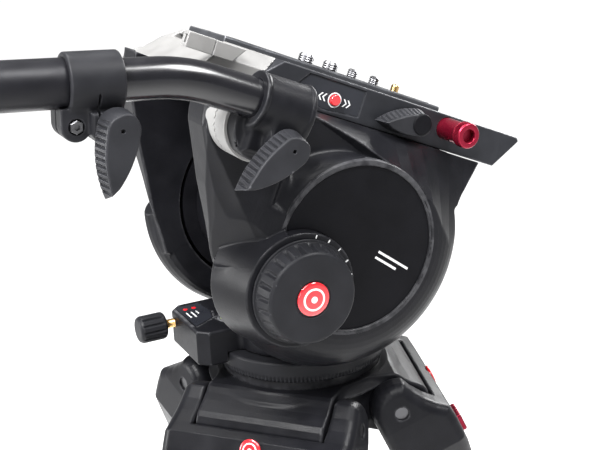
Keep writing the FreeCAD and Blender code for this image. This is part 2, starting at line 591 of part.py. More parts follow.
def make_cheek(label, side):
    cheek = new_body(label, tilted)
    bend = -side
    drum = [("0", f"{side} * cheek_in"), ("lip_radius", f"{side} * cheek_in", f"{bend} * -lip_curve"),
            ("drum_radius", f"{side} * drum_belly", f"{bend} * -drum_curve"),
            ("drum_edge", f"{side} * drum_out"), ("0", f"{side} * drum_out")]
    spin(cheek, "XY_Plane", drum)
    side_pad(cheek, side,
             [("-arm_top_x", "deck_under"), ("-arm_mid_x", "arm_mid_z"),
              ("-arm_low_x", "-arm_low_z"), ("-arm_root_x", "-arm_root_z"), ("0", "0"),
              ("skirt_low_x", "skirt_low_z"), ("skirt_top_x", "deck_under")],
             "cheek_in", "wall_out")
    side_pad(cheek, side,
             [("-arm_top_x", "deck_under"), ("-arm_mid_x", "arm_mid_z"),
              ("-arm_low_x", "-arm_low_z"), ("-arm_root_x", "-arm_root_z"),
              ("-arm_notch_x", "-arm_notch_z"), ("-arm_waist_x", "arm_waist_z"),
              ("-arm_front_x", "deck_under")],
             "cheek_in", "arm_out")
    side_pad(cheek, side,
             [("-bridge_x", "deck_under"), ("bridge_mid_x", "bridge_mid_z"),
              ("bridge_low_x", "bridge_low_z"), ("skirt_low_x", "skirt_low_z"),
              ("skirt_top_x", "deck_under")],
             "cheek_in", "skirt_out")
    side_pad(cheek, side,
             [("-shoulder_rear", "deck_under"), ("-shoulder_rear", "shoulder_under"),
              ("bridge_low_x", "shoulder_under"), ("arm_front_x", "deck_under")],
             "shoulder_in", "cheek_in + overrun")
    side_pocket(cheek, side,
                [("-bridge_x", "deck_under - overrun"), ("bridge_mid_x", "bridge_mid_z"),
                 ("bridge_low_x", "bridge_low_z"), ("clear_of_drum", "bridge_end_z"),
                 ("clear_of_drum", "clear_of_drum"), ("-bridge_x", "clear_of_drum")],
                "ridge_out", "drum_out + overrun")
    slope = [("slope_in", "clear_of_drum"), ("slope_in", "deck_under"),
             ("slope_mid", "slope_mid_z"), ("slope_low", "slope_low_z"),
             ("drum_out + overrun", "slope_low_z"), ("drum_out + overrun", "clear_of_drum")]
    cut(cheek, "YZ_Plane", [(f"{side} * ({out})", up) for out, up in slope],
        "clear_of_drum + bridge_x", offset="-bridge_x", reverse=True)
    side_disc(cheek, side, "-rosette_x", "rosette_z", "rosette_radius", "cheek_in", "boss_out")
    spin(cheek, "XY_Plane",
         [("0", f"{side} * (cheek_in - overrun)"),
          ("cavity_radius", f"{side} * (cheek_in - overrun)"),
          ("cavity_radius", f"{side} * cavity_out"),
          ("axle_radius + turn_gap", f"{side} * cavity_out"),
          ("axle_radius + turn_gap", f"{side} * recess_in"), ("recess_radius", f"{side} * recess_in"),
          ("recess_radius", f"{side} * (drum_out + overrun)"),
          ("0", f"{side} * (drum_out + overrun)")],
         "Groove")
    side_hole(cheek, side, "-rosette_x", "rosette_z", "rosette_hole", "cheek_in",
              "boss_out + overrun")
    return cheek


def make_cheeks():
    near = make_cheek("near_cheek", NEAR)
    side_disc(near, NEAR, "-balance_x", "-balance_z", "housing_radius", "recess_in", "housing_out")
    side_hole(near, NEAR, "-balance_x", "-balance_z", "dial_stem + turn_gap", "dial_seat - overrun",
              "housing_out + overrun")
    far = make_cheek("far_cheek", FAR)
    side_hole(far, FAR, "-tilt_lock_x", "-tilt_lock_z", "tilt_lock_stem + turn_gap",
              "wall_out", "drum_out + overrun")
    cover = new_body("near_cover", tilted)
    side_disc(cover, NEAR, "0", "0", "cover_radius", "cover_in", "cover_out")
    side_hole(cover, NEAR, "-balance_x", "-balance_z", "housing_radius + cover_gap",
              "cover_in - overrun", "cover_out + overrun")
    cover = new_body("far_cover", tilted)
    side_disc(cover, FAR, "0", "0", "cover_radius", "cover_in", "cover_out")
    side_hole(cover, FAR, "0", "0", "drag_stem + turn_gap", "cover_in - overrun",
              "cover_out + overrun")


def make_rosettes():
    group = doc.addObject("Part::Compound", "rosettes")
    discs = []
    for side in (NEAR, FAR):
        disc = doc.addObject("Part::Cylinder", f"rosette_disc_{side + 2}")
        disc.setExpression("Radius", bound("rosette_radius"))
        disc.setExpression("Height", bound("rosette_out - boss_out"))
        hole = doc.addObject("Part::Cylinder", f"rosette_bore_{side + 2}")
        hole.setExpression("Radius", bound("rosette_hole"))
        hole.setExpression("Height", bound("rosette_out - boss_out"))
        place = tilted * facing("-rosette_x", f"{side} * boss_out", "rosette_z", X_DIR,
                                Y_DIR * side)
        disc.Placement = place
        hole.Placement = place
        toothed = doc.addObject("Part::Cut", f"rosette_{side + 2}")
        toothed.Base = disc
        toothed.Tool = hole
        discs.append(toothed)
    group.Links = discs
    finished.append(group)


# ---------------------------------------------------------------- knobs and levers

def make_knobs():
    out = facing("-balance_x", "0", "-balance_z", X_DIR, -Y_DIR)
    dial = turned("counterbalance_knob", tilted * out,
                  [("0", "dial_seat"), ("dial_stem", "dial_seat"), ("dial_stem", "dial_in"),
                   ("dial_flange", "dial_in"), ("dial_flange", "dial_rim"),
                   ("dial_radius", "dial_rim"), ("dial_neck", "dial_edge"),
                   ("dial_face", "dial_out"), ("0", "dial_out")])
    rib = cut_disc(dial, "XY_Plane", "rib_reach", "0", "rib_radius", "dial_edge - rib_low",
                   offset="dial_edge")
    around(dial, [rib], "dial_ribs")
    out = facing("0", "0", "0", X_DIR, Y_DIR)
    drag = turned("tilt_drag_knob", tilted * out,
                  [("0", "drag_seat"), ("drag_stem", "drag_seat"), ("drag_stem", "drag_in"),
                   ("drag_radius", "drag_in"), ("drag_radius", "drag_step"),
                   ("drag_face", "drag_edge"), ("drag_top", "drag_out"), ("0", "drag_out")])
    rib = cut_disc(drag, "XY_Plane", "drag_radius", "0", "rib_radius", "drag_edge - drag_step",
                   offset="drag_edge")
    around(drag, [rib], "dial_ribs")


def make_lever(label, place, length, head, tip, thick, stem, stem_length):
    """A teardrop lever: its head is on its own Z axis and its tip lies along its own +X."""
    lever = new_body(label, place)
    head = f"({head})"
    lean = f"(({head} - {tip}) / ({length}))"
    rise = f"sqrt(1 - {lean}^2)"
    pad(lever, "XY_Plane",
        [(f"{head} * {lean}", f"{head} * {rise}"),
         (f"{length} + {tip} * {lean}", f"{tip} * {rise}", tip),
         (f"{length} + {tip}", "0", tip),
         (f"{length} + {tip} * {lean}", f"-{tip} * {rise}"),
         (f"{head} * {lean}", f"-{head} * {rise}", head),
         (f"-{head}", "0", head)], thick)
    pad_disc(lever, "XY_Plane", "0", "0", stem, stem_length, reverse=True)
    cut_disc(lever, "XY_Plane", "0", "0", "lever_screw", "screw_depth", offset=thick)
    soften(lever, "lever_edge",
           lambda edge: edge.BoundBox.ZMin > size(thick) - 0.01 and edge.BoundBox.DiagonalLength > 8)
    return lever


def swung(angle):
    """The direction in the cheek's side view at an angle up from straight ahead."""
    return Vector(math.cos(math.radians(angle)), 0, math.sin(math.radians(angle)))


def make_side_levers():
    place = facing("plate_lever_x", "-plate_lever_in", "plate_lever_z",
                   swung(PLATE_LEVER_ANGLE), -Y_DIR)
    make_lever("plate_lock_lever", tilted * place, "plate_lever_length", "plate_lever_head",
               "plate_lever_tip",
               "plate_lever_out - plate_lever_in", "plate_lever_stem",
               "plate_lever_in - button_hole_in")
    place = facing("-tilt_lock_x", "tilt_lock_in", "-tilt_lock_z", swung(TILT_LOCK_ANGLE),
                   Y_DIR)
    make_lever("tilt_lock_lever", tilted * place, "tilt_lock_length", "tilt_lock_head",
               "big_lever_tip", "tilt_lock_out - tilt_lock_in", "tilt_lock_stem",
               "tilt_lock_in - tilt_lock_seat")


# ---------------------------------------------------------------- deck and camera plate

def make_deck():
    deck = new_body("deck", tilted)
    pad(deck, "XZ_Plane",
        [("-deck_rear", "deck_under"), ("chin_x", "deck_under"), ("nose_x", "nose_z"),
         ("nose_top_x", "deck_top"), ("-deck_slope", "deck_top")],
        "2 * deck_half", midplane=True)
    side_pad(deck, NEAR,
             [("-stop_rear", "stop_low"), ("-stop_low_front", "stop_low"),
              ("-stop_front", "stop_top"), ("-stop_rear", "stop_top")],
             "deck_half - overrun", "stop_out")
    cut(deck, "XY_Plane",
        [("-deck_rear - overrun", "-channel_half"), ("channel_front", "-channel_half"),
         ("channel_front", "channel_half"), ("-deck_rear - overrun", "channel_half")],
        "deck_top - channel_floor", offset="deck_top")
    side_hole(deck, NEAR, "release_x", "release_z", "release_radius + turn_gap",
              "release_end", "deck_half + overrun")
    side_hole(deck, NEAR, "-button_x", "button_z", "button_radius + turn_gap",
              "button_hole_in", "deck_half + overrun")
    side_hole(deck, NEAR, "plate_lever_x", "plate_lever_z", "plate_lever_stem + turn_gap",
              "button_hole_in - overrun", "deck_half + overrun")


def slot_corners(rear, front, half):
    return [(rear, f"-({half})"), (front, f"-({half})"), (front, half), (rear, half)]


def make_camera_plate():
    plate = new_body("camera_plate", tilted)
    pad(plate, "XY_Plane", slot_corners("-plate_rear", "plate_front", "plate_half"),
        "plate_top - plate_bottom", offset="plate_bottom")
    cut(plate, "XY_Plane", slot_corners("-slot_big_rear - slot_lip", "slot_small_front + slot_lip",
                                        "screw_head + slot_play"),
        "head_top - plate_bottom + head_gap", offset="plate_bottom", reverse=True)
    cut(plate, "XY_Plane", slot_corners("-slot_big_rear", "slot_big_front",
                                        "big_screw + slot_play"),
        "plate_top - plate_bottom + overrun", offset="plate_top")
    cut(plate, "XY_Plane", slot_corners("slot_small_rear", "slot_small_front",
                                        "small_screw + slot_play"),
        "plate_top - plate_bottom + overrun", offset="plate_top")
    cut_disc(plate, "XY_Plane", "locator_x", "0", "locator_flange", "locator_seat",
             offset="plate_top")
    pins = doc.addObject("Part::Compound", "camera_screws")
    screws = []
    for number, (x, radius) in enumerate((("-big_screw_1", "big_screw"),
                                          ("-big_screw_2", "big_screw"),
                                          ("small_screw_1", "small_screw"),
                                          ("small_screw_2", "small_screw")), 1):
        screws.append(make_screw(number, x, radius))
    pins.Links = screws
    finished.append(pins)
    turned("locating_pin", tilted * at("locator_x", "0", "plate_top"),
           [("0", "-locator_seat"), ("locator_flange", "-locator_seat"), ("locator_flange", "0"),
            ("locator_radius", "0"), ("locator_radius", "locator_proud"), ("0", "locator_proud")])


def make_screw(number, x, radius):
    """A captive camera screw: thread above the plate, an undercut neck in its slot, a head."""
    stack = [(radius, "plate_top", "plate_top + screw_proud"),
             (f"{radius} - neck_cut", "head_top", "plate_top"),
             ("screw_head - head_edge", "head_bottom", "head_top")]
    pieces = []
    for part, (wide, low, high) in enumerate(stack, 1):
        piece = doc.addObject("Part::Cylinder", f"camera_screw_{number}_{part}")
        piece.setExpression("Radius", bound(wide))
        piece.setExpression("Height", bound(f"{high} - ({low})"))
        piece.Placement = tilted * at(x, "0", low)
        pieces.append(piece)
    screw = doc.addObject("Part::MultiFuse", f"camera_screw_{number}")
    screw.Shapes = pieces
    return screw


def make_buttons():
    place = tilted * facing("release_x", "0", "release_z", X_DIR, -Y_DIR)
    turned("release_button", place,
           [("0", "release_in"), ("release_radius", "release_in"),
            ("release_radius", "release_step"), ("release_lip", "release_rim"),
            ("release_lip", "release_out - overrun"), ("release_radius", "release_out"),
            ("release_bore", "release_out"), ("release_bore", "release_bore_in"),
            ("0", "release_bore_in")])
    place = tilted * facing("-button_x", "0", "button_z", X_DIR, -Y_DIR)
    turned("journal_button", place, ring_corners("0", "button_radius", "button_in", "button_out"))


# ---------------------------------------------------------------- pan bar

def make_bar_clamp():
    clamp = new_body("bar_clamp", tilted)
    side_disc(clamp, NEAR, "-rosette_x", "rosette_z", "rosette_radius", "rosette_out + swing_gap",
              "clamp_flange")
    side_pad(clamp, NEAR,
             [("-rosette_x - web_half", "web_low_z"), ("-rosette_x + web_half", "web_low_z"),
              ("-web_front_x", "web_high_z"), ("-web_rear_x", "web_high_z")],
             "web_in", "web_out")
    pad_disc(clamp, "YZ_Plane", "-bar_y", "bar_z", "barrel_radius", "barrel_rear - barrel_front",
             offset="-barrel_rear")
    side_pad(clamp, NEAR,
             [("-clamp_lever_x - web_half", "clamp_lever_z - web_half"),
              ("-clamp_lever_x + web_half", "clamp_lever_z - web_half"),
              ("-clamp_lever_x + web_half", "bar_z"), ("-clamp_lever_x - web_half", "bar_z")],
             "bar_y - clamp_lug_half", "bar_y + clamp_lug_half")
    cut_disc(clamp, "YZ_Plane", "-bar_y", "bar_z", "bar_radius", "2 * barrel_rear", midplane=True,
             offset="-barrel_rear")
    side_hole(clamp, NEAR, "-clamp_lever_x", "clamp_lever_z", "lever_stem + turn_gap",
              "bar_y - clamp_lug_half + clamp_lug_depth", "bar_y + clamp_lug_half + overrun")
    place = facing("-clamp_lever_x", "-bar_y - clamp_lug_half - lever_gap", "clamp_lever_z",
                   swung(CLAMP_LEVER_ANGLE), -Y_DIR)
    make_lever("bar_clamp_lever", tilted * place, "big_lever_length", "big_lever_head",
               "big_lever_tip", "lever_thick", "lever_stem", "big_lever_stem")


def bar_run(label, radius):
    """The solid run of the inner bar: straight, bend, straight, all of one radius."""
    straight = doc.addObject("Part::Cylinder", label + "_front")
    straight.setExpression("Radius", bound(radius))
    straight.setExpression("Height", bound("bend_x - bar_front"))
    straight.Placement = tilted * facing("-bar_front", "-bar_y", "bar_z", Z_DIR, -X_DIR)
    bend = doc.addObject("Part::Torus", label + "_bend")
    bend.setExpression("Radius1", bound("bend_radius"))
    bend.setExpression("Radius2", bound(radius))
    bend.setExpression("Angle3", bound("bend_angle"))
    bend.Placement = tilted * facing("-bend_x", "-bar_y", "bar_z - bend_radius", Z_DIR, -Y_DIR)
    rear = doc.addObject("Part::Cylinder", label + "_rear")
    rear.setExpression("Radius", bound(radius))
    rear.setExpression("Height", bound("straight_length"))
    rear.Placement = bar_frame
    run = doc.addObject("Part::MultiFuse", label)
    run.Shapes = [straight, bend, rear]
    return run


def make_bar():
    bar = doc.addObject("Part::Cut", "inner_bar")
    bar.Base = bar_run("inner_bar_outside", "bar_radius")
    bar.Tool = bar_run("inner_bar_inside", "bar_radius - bar_wall")
    finished.append(bar)
    slide = "bar_radius + turn_gap"
    turned("outer_bar", bar_frame,
           ring_corners(slide, "sleeve_radius", "sleeve_start", "sleeve_start + sleeve_length"))
    collar = new_body("bar_lock", bar_frame)
    end = "(collar_start + collar_length)"
    spin(collar, "XZ_Plane",
         [(slide, "collar_start"), ("collar_radius - collar_edge", "collar_start"),
          ("collar_radius", "collar_start + collar_edge"),
          ("collar_radius", f"{end} - collar_edge"), ("collar_radius - collar_edge", end),
          ("sleeve_radius", end), ("sleeve_radius", "sleeve_start"),
          (slide, "sleeve_start")])
    pad(collar, "XZ_Plane",
        [("-lug_drop", "collar_start"), ("-lug_drop", "lug_step"),
         ("-lug_root", "lug_end"), ("-lug_root", "collar_start")],
        "2 * lock_lug_half", midplane=True)
    cut_disc(collar, "XZ_Plane", "-lock_lug_x", "lock_lug_z", "lever_stem + turn_gap",
             "2 * lock_lug_half", offset="lock_lug_half")
    place = facing("-lock_lug_x", "-lock_lug_half - lever_gap", "lock_lug_z",
                   swung(LOCK_LEVER_ANGLE), -Y_DIR)
    make_lever("bar_lock_lever", bar_frame * place, "big_lever_length", "big_lever_head",
               "big_lever_tip", "lever_thick", "lever_stem", "big_lever_stem")
    last = "(grip_start + grip_length)"
    turned("bar_grip", bar_frame,
           [("sleeve_radius", "grip_start"), ("grip_radius - grip_edge", "grip_start"),
            ("grip_radius", "grip_start + 2 * grip_edge"),
            ("grip_radius", f"{last} - grip_round", "-grip_round"),
            ("grip_radius - grip_round", last), ("0", last), ("0", "sleeve_start + sleeve_length"),
            ("sleeve_radius", "sleeve_start + sleeve_length")])


BEND_END = "bend_x + bend_radius * sin(bend_angle * 1 deg)"
BEND_DROP = "bar_z - bend_radius * (1 - cos(bend_angle * 1 deg))"
bar_frame = tilted * at(f"-({BEND_END})", "-bar_y", BEND_DROP,
                        Rotation(Y_DIR, -90 - size("bend_angle")))

make_crown()
make_leg_pins()
make_ball()
for leg_number in (1, 2, 3):
    make_leg(leg_number)
make_pan_parts()
make_core()
make_cheeks()
make_rosettes()
make_knobs()
make_side_levers()
make_deck()
make_camera_plate()
make_buttons()
make_bar_clamp()
make_bar()
doc.recompute()

faults = [item.Label for item in doc.Objects
          if "Invalid" in item.State or "Error" in item.State]
for item in finished:
    if item.Shape.isNull() or not item.Shape.isValid():
        faults.append(item.Label + " shape")
if faults:
    raise SystemExit("failed: " + ", ".join(faults))
os.makedirs("parts", exist_ok=True)
for item in finished:
    item.Shape.exportStep(f"parts/{item.Label}.step")
print(len(finished), "parts written")
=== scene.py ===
"""The looks of a fluid video head on a tripod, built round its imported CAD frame.

Cast and moulded pieces are made as distance fields in millimetres and meshed on a grid, so that
their ribs, hollows and soft edges are real geometry. Turned pieces are lathed from a profile.
"""

import json
import math

import bpy
import numpy as np
from mathutils import Matrix, Vector


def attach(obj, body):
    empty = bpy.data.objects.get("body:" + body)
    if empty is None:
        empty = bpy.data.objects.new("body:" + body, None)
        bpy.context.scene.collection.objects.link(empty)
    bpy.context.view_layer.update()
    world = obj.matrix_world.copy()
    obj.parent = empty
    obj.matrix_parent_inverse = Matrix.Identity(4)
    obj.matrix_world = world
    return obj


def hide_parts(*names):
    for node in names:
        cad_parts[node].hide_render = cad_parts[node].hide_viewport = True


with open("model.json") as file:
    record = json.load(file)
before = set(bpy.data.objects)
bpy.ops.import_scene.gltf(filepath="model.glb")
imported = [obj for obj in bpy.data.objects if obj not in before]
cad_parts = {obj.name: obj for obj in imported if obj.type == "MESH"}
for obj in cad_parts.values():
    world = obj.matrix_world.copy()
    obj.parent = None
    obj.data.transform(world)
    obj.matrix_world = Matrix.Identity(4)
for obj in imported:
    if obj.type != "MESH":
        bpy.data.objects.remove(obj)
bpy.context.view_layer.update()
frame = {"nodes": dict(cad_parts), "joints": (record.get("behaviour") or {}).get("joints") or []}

MM = 0.001
JOINTS = {joint["name"]: joint for joint in frame["joints"]}
X_DIR = Vector((1, 0, 0))
Y_DIR = Vector((0, 1, 0))
Z_DIR = Vector((0, 0, 1))
LEGS = (1, 2, 3)
NEAR = -1
FAR = 1
COARSE = 1.0


# ---------------------------------------------------------------- frames, in millimetres

def pivot(name):
    return Vector(JOINTS[name]["pos_m"])


def direction(name):
    return Vector(JOINTS[name]["axis"]).normalized()


def placed(origin, x_axis, z_axis):
    """The matrix from a local frame in millimetres to the row frame in metres."""
    z_axis = z_axis.normalized()
    x_axis = x_axis.normalized()
    turn = Matrix((x_axis, z_axis.cross(x_axis), z_axis)).transposed().to_4x4()
    return Matrix.Translation(origin) @ turn @ Matrix.Scale(MM, 4)


def shifted(place, x, y, z, x_axis=X_DIR, z_axis=Z_DIR):
    """A frame inside another: its origin in the outer one's millimetres, its axes turned."""
    z_axis = Vector(z_axis).normalized()
    x_axis = Vector(x_axis).normalized()
    turn = Matrix((x_axis, z_axis.cross(x_axis), z_axis)).transposed().to_4x4()
    return place @ Matrix.Translation((x, y, z)) @ turn


LEVEL = placed(pivot("tilt"), X_DIR, Z_DIR)
TILTED = placed(pivot("tilt"), direction("plate_slide"), direction("plate_slide").cross(Y_DIR))
LEG_FRAMES = {}
for leg in LEGS:
    up_leg = -direction(f"leg_{leg}_extend")
    LEG_FRAMES[leg] = placed(pivot(f"leg_{leg}_spread"),
                             direction(f"leg_{leg}_spread").cross(up_leg), up_leg)
outward = pivot("leg_1_spread") - pivot("tilt")
outward.z = 0
STAND = placed(pivot("tilt"), outward, Z_DIR)
ALONG_BAR = direction("bar_slide")
BAR_UP = Y_DIR.cross(ALONG_BAR)
BAR_AXIS_Y = -100
LOCK_PIVOT = (-19, 22)
bend_end = pivot("bar_lock_turn") - BAR_UP * LOCK_PIVOT[0] * MM - ALONG_BAR * LOCK_PIVOT[1] * MM
bend_end.y = BAR_AXIS_Y * MM
BAR = placed(bend_end, BAR_UP, ALONG_BAR)


# ---------------------------------------------------------------- distance fields

def join(first, second, soft=0.0):
    """Both solids, with a fillet of about soft where they meet."""
    if not soft:
        return np.minimum(first, second)
    near = np.maximum(soft - np.abs(first - second), 0) / soft
    return np.minimum(first, second) - near * near * soft / 4


def meet(first, second, soft=0.0):
    """What both solids share, with an edge rounded by about soft."""
    return -join(-first, -second, soft)


def carve(solid, tool, soft=0.0):
    return meet(solid, -tool, soft)


def between(value, low, high):
    return np.abs(value - (low + high) / 2) - (high - low) / 2


def within(value, half):
    return np.abs(value) - half


def disc(u, v, radius, centre=(0, 0)):
    return np.hypot(u - centre[0], v - centre[1]) - radius


def outline(u, v, corners):
    """Signed distance to a closed outline, negative inside."""
    nearest = np.inf
    inside = np.zeros(np.broadcast(u, v).shape, bool)
    for (start_u, start_v), (end_u, end_v) in zip(corners, corners[1:] + corners[:1]):
        run_u, run_v = end_u - start_u, end_v - start_v
        share = ((u - start_u) * run_u + (v - start_v) * run_v) / (run_u ** 2 + run_v ** 2)
        share = np.clip(share, 0, 1)
        apart = np.hypot(u - start_u - share * run_u, v - start_v - share * run_v)
        nearest = np.minimum(nearest, apart)
        rise = run_v if run_v else 1e-9
        inside ^= ((start_v > v) != (end_v > v)) & (u < start_u + run_u * (v - start_v) / rise)
    return np.where(inside, -nearest, nearest)


def prism(flat, depth, edge=0.0):
    """The solid with section flat where depth is negative, its edges rounded by edge."""
    flat, depth = flat + edge, depth + edge
    outside = np.hypot(np.maximum(flat, 0), np.maximum(depth, 0))
    return np.minimum(np.maximum(flat, depth), 0) + outside - edge


def box(x, y, z, low, high, edge=0.0):
    flat = prism(between(x, low[0], high[0]), between(y, low[1], high[1]))
    return prism(flat, between(z, low[2], high[2]), edge)


def arc(centre, radius, start, end, count=8):
    """Points along an arc, from one angle in degrees to another."""
    return [(centre[0] + radius * math.cos(math.radians(angle)),
             centre[1] + radius * math.sin(math.radians(angle)))
            for angle in np.linspace(start, end, count)]


# ---------------------------------------------------------------- meshes

CORNERS = [(a, b, c) for a in (0, 1) for b in (0, 1) for c in (0, 1)]
EDGES = [(first, second) for first in CORNERS for second in CORNERS
         if sum(second) - sum(first) == 1 and all(b >= a for a, b in zip(first, second))]


def slopes(field, points, reach):
    """The field and its gradient at some points."""
    here = field(*points.T)
    moved = [field(*(points + reach * row).T) for row in np.eye(3)]
    return here, (np.array(moved) - here).T / reach


def surface(field, low, high, step):
    """Points, quads and normals of the field's zero surface, by surface nets on a grid."""
    spans = [np.arange(start, end + step, step) for start, end in zip(low, high)]
    values = np.array(field(*np.meshgrid(*spans, indexing="ij", sparse=True)), np.float32)
    for axis in range(3):
        for edge in (0, -1):
            rim = np.moveaxis(values, axis, 0)
            rim[edge] = np.maximum(rim[edge], 0.01)
    inside = values < 0
    size = np.array(values.shape) - 1
    count = np.zeros(size, np.int8)
    for a, b, c in CORNERS:
        count += inside[a:size[0] + a, b:size[1] + b, c:size[2] + c]
    cells = np.argwhere((count > 0) & (count < 8))
    number = np.full(size, -1, np.int64)
    number[tuple(cells.T)] = np.arange(len(cells))
    total = np.zeros((len(cells), 3))
    hits = np.zeros(len(cells))
    for first, second in EDGES:
        start = values[tuple((cells + first).T)]
        end = values[tuple((cells + second).T)]
        crossed = (start < 0) != (end < 0)
        share = np.where(crossed, start / np.where(crossed, start - end, 1), 0)
        total += crossed[:, None] * (first + share[:, None] * np.subtract(second, first))
        hits += crossed
    points = (cells + total / hits[:, None]) * step + [span[0] for span in spans]
    quads = []
    for axis in range(3):
        one, two = (axis + 1) % 3, (axis + 2) % 3
        ahead = np.moveaxis(np.moveaxis(inside, axis, 0)[1:], 0, axis)
        behind = np.moveaxis(np.moveaxis(inside, axis, 0)[:-1], 0, axis)
        found = np.argwhere(ahead != behind)
        leaving = behind[tuple(found.T)]
        around = []
        for back_one, back_two in ((1, 1), (0, 1), (0, 0), (1, 0)):
            cell = found.copy()
            cell[:, one] -= back_one
            cell[:, two] -= back_two
            around.append(number[tuple(cell.T)])
        quad = np.stack(around, 1)
        quads.append(np.where(leaving[:, None], quad, quad[:, ::-1]))
    here, slope = slopes(field, points, step * 0.1)
    length = np.linalg.norm(slope, axis=1)
    push = np.clip(here / np.maximum(length, 0.3), -0.6 * step, 0.6 * step)
    points -= slope * (push / np.maximum(length, 0.3))[:, None]
    here, slope = slopes(field, points, step * 0.1)
    normals = slope / np.maximum(np.linalg.norm(slope, axis=1), 1e-6)[:, None]
    return points, np.concatenate(quads), normals


def linked(name, data):
    """A new object in the scene."""
    made = bpy.data.objects.new(name, data)
    bpy.context.scene.collection.objects.link(made)
    return made


def add_object(name, points, faces, place, normals=None, sharp=None):
    """A mesh piece from local points in millimetres, its vertices set in the row frame."""
    mesh = bpy.data.meshes.new(name)
    matrix = np.array(place)
    world = np.asarray(points) @ matrix[:3, :3].T + matrix[:3, 3]
    mesh.from_pydata(world.tolist(), [], [list(map(int, face)) for face in faces])
    mesh.update()
    mesh.polygons.foreach_set("use_smooth", [True] * len(mesh.polygons))
    if normals is not None:
        facing = np.asarray(normals) @ (matrix[:3, :3] / MM).T
        mesh.normals_split_custom_set_from_vertices(facing.tolist())
    if sharp is not None:
        mesh.set_sharp_from_angle(angle=math.radians(sharp))
    return linked(name, mesh)


def finished(piece, body, finish, stands_for=()):
    """Give a piece its material, its body and the CAD nodes it stands for."""
    piece.data.materials.append(finish)
    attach(piece, body)
    if stands_for:
        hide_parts(*stands_for)
    return piece


def moulded(name, field, low, high, step, place):
    """A cast or moulded piece from its distance field."""
    points, faces, normals = surface(field, low, high, step * COARSE)
    return add_object(name, points, faces, place, normals)


def walls(rings, count):
    """The quads between neighbouring rings of count points each."""
    faces = []
    for low in range(0, (rings - 1) * count, count):
        for turn in range(count):
            after = (turn + 1) % count
            faces.append([low + turn, low + after, low + count + after, low + count + turn])
    return faces


def lathed(name, place, profile, count=96, wave=None, sharp=32):
    """A turned piece from (radius, height) corners. wave(height, angle) is taken off."""
    radius, height = (np.array(column, float)[:, None] for column in zip(*profile))
    angle = np.linspace(0, 2 * math.pi, count, endpoint=False)[None, :]
    wide = np.broadcast_to(radius, (len(profile), count))
    if wave is not None:
        wide = np.maximum(wide - wave(height, angle), 0)
    points = np.stack([wide * np.cos(angle), wide * np.sin(angle),
                       np.broadcast_to(height, wide.shape)], 2).reshape(-1, 3)
    faces = walls(len(profile), count)
    if profile[0] != profile[-1]:
        faces.append(list(range(count))[::-1])
        faces.append([(len(profile) - 1) * count + turn for turn in range(count)])
    return add_object(name, points, faces, place, sharp=sharp)


def eased(profile, ease, count=3):
    """A profile with each corner rounded by up to ease."""
    points = [np.array(corner, float) for corner in profile]
    made = [tuple(points[0])]
    for before, corner, after in zip(points, points[1:], points[2:]):
        back, ahead = before - corner, after - corner
        cut = min(ease, np.linalg.norm(back) / 2.2, np.linalg.norm(ahead) / 2.2)
        start = corner + back / np.linalg.norm(back) * cut
        end = corner + ahead / np.linalg.norm(ahead) * cut
        for share in np.linspace(0, 1, count + 1):
            bent = (1 - share) ** 2 * start + 2 * share * (1 - share) * corner + share ** 2 * end
            made.append(tuple(bent))
    made.append(tuple(points[-1]))
    return made


def turned(name, place, profile, ease, longest, count, wave):
    """A lathed piece with eased corners, dense enough for the wave cut into it."""
    return lathed(name, place, dense(eased(profile, ease), longest), count, wave)


def swept(name, place, path, radius, count=48):
    """A round tube or wire along a path in the local XZ plane, closed at both ends."""
    path = np.array(path, float)
    along = np.gradient(path, axis=0)
    along /= np.linalg.norm(along, axis=1)[:, None]
    side = np.cross(along, [0, 1, 0])
    angle = np.linspace(0, 2 * math.pi, count, endpoint=False)
    across = np.outer(np.sin(angle), [0, 1, 0])
    rings = [centre + radius * (np.outer(np.cos(angle), normal) + across)
             for centre, normal in zip(path, side)]
    points = np.concatenate(rings)
    faces = [list(range(count))]
    faces += [face[::-1] for face in walls(len(path), count)]
    faces.append([(len(path) - 1) * count + turn for turn in range(count)][::-1])
    return add_object(name, points, faces, place, sharp=40)


# ---------------------------------------------------------------- materials

class Finish:
    """A material under way: its shader's sockets and the few kinds of node it is made of."""

    def __init__(self, material):
        material.use_nodes = True
        self.nodes = material.node_tree.nodes
        self.link = material.node_tree.links.new
        self.shader = self.nodes["Principled BSDF"].inputs

    def noise(self, size_mm, detail):
        """Noise on object coordinates, its grain about size_mm."""
        place = self.nodes.new("ShaderNodeTexCoord")
        texture = self.nodes.new("ShaderNodeTexNoise")
        texture.inputs["Scale"].default_value = 1 / (size_mm * MM)
        texture.inputs["Detail"].default_value = detail
        self.link(place.outputs["Object"], texture.inputs["Vector"])
        return texture.outputs["Fac"]

    def ramp(self, source, low, high, start, end):
        """The source mapped from low..high to start..end."""
        mapped = self.nodes.new("ShaderNodeMapRange")
        ends = zip(("From Min", "From Max", "To Min", "To Max"), (low, high, start, end))
        for key, value in ends:
            mapped.inputs[key].default_value = value
        self.link(source, mapped.inputs["Value"])
        return mapped.outputs["Result"]

    def mixed(self, share, first, second):
        """A colour between two colours or sockets."""
        mix = self.nodes.new("ShaderNodeMix")
        mix.data_type = "RGBA"
        self.link(share, mix.inputs["Factor"])
        for key, value in (("A", first), ("B", second)):
            socket = [item for item in mix.inputs if item.name == key and item.type == "RGBA"][0]
            if isinstance(value, tuple):
                socket.default_value = (*value, 1)
            else:
                self.link(value, socket)
        return [item for item in mix.outputs if item.type == "RGBA"][0]

    def bumped(self, height, depth_mm):
        bump = self.nodes.new("ShaderNodeBump")
        bump.inputs["Strength"].default_value = 1.0
        bump.inputs["Distance"].default_value = depth_mm * MM
        self.link(height, bump.inputs["Height"])
        self.link(bump.outputs["Normal"], self.shader["Normal"])


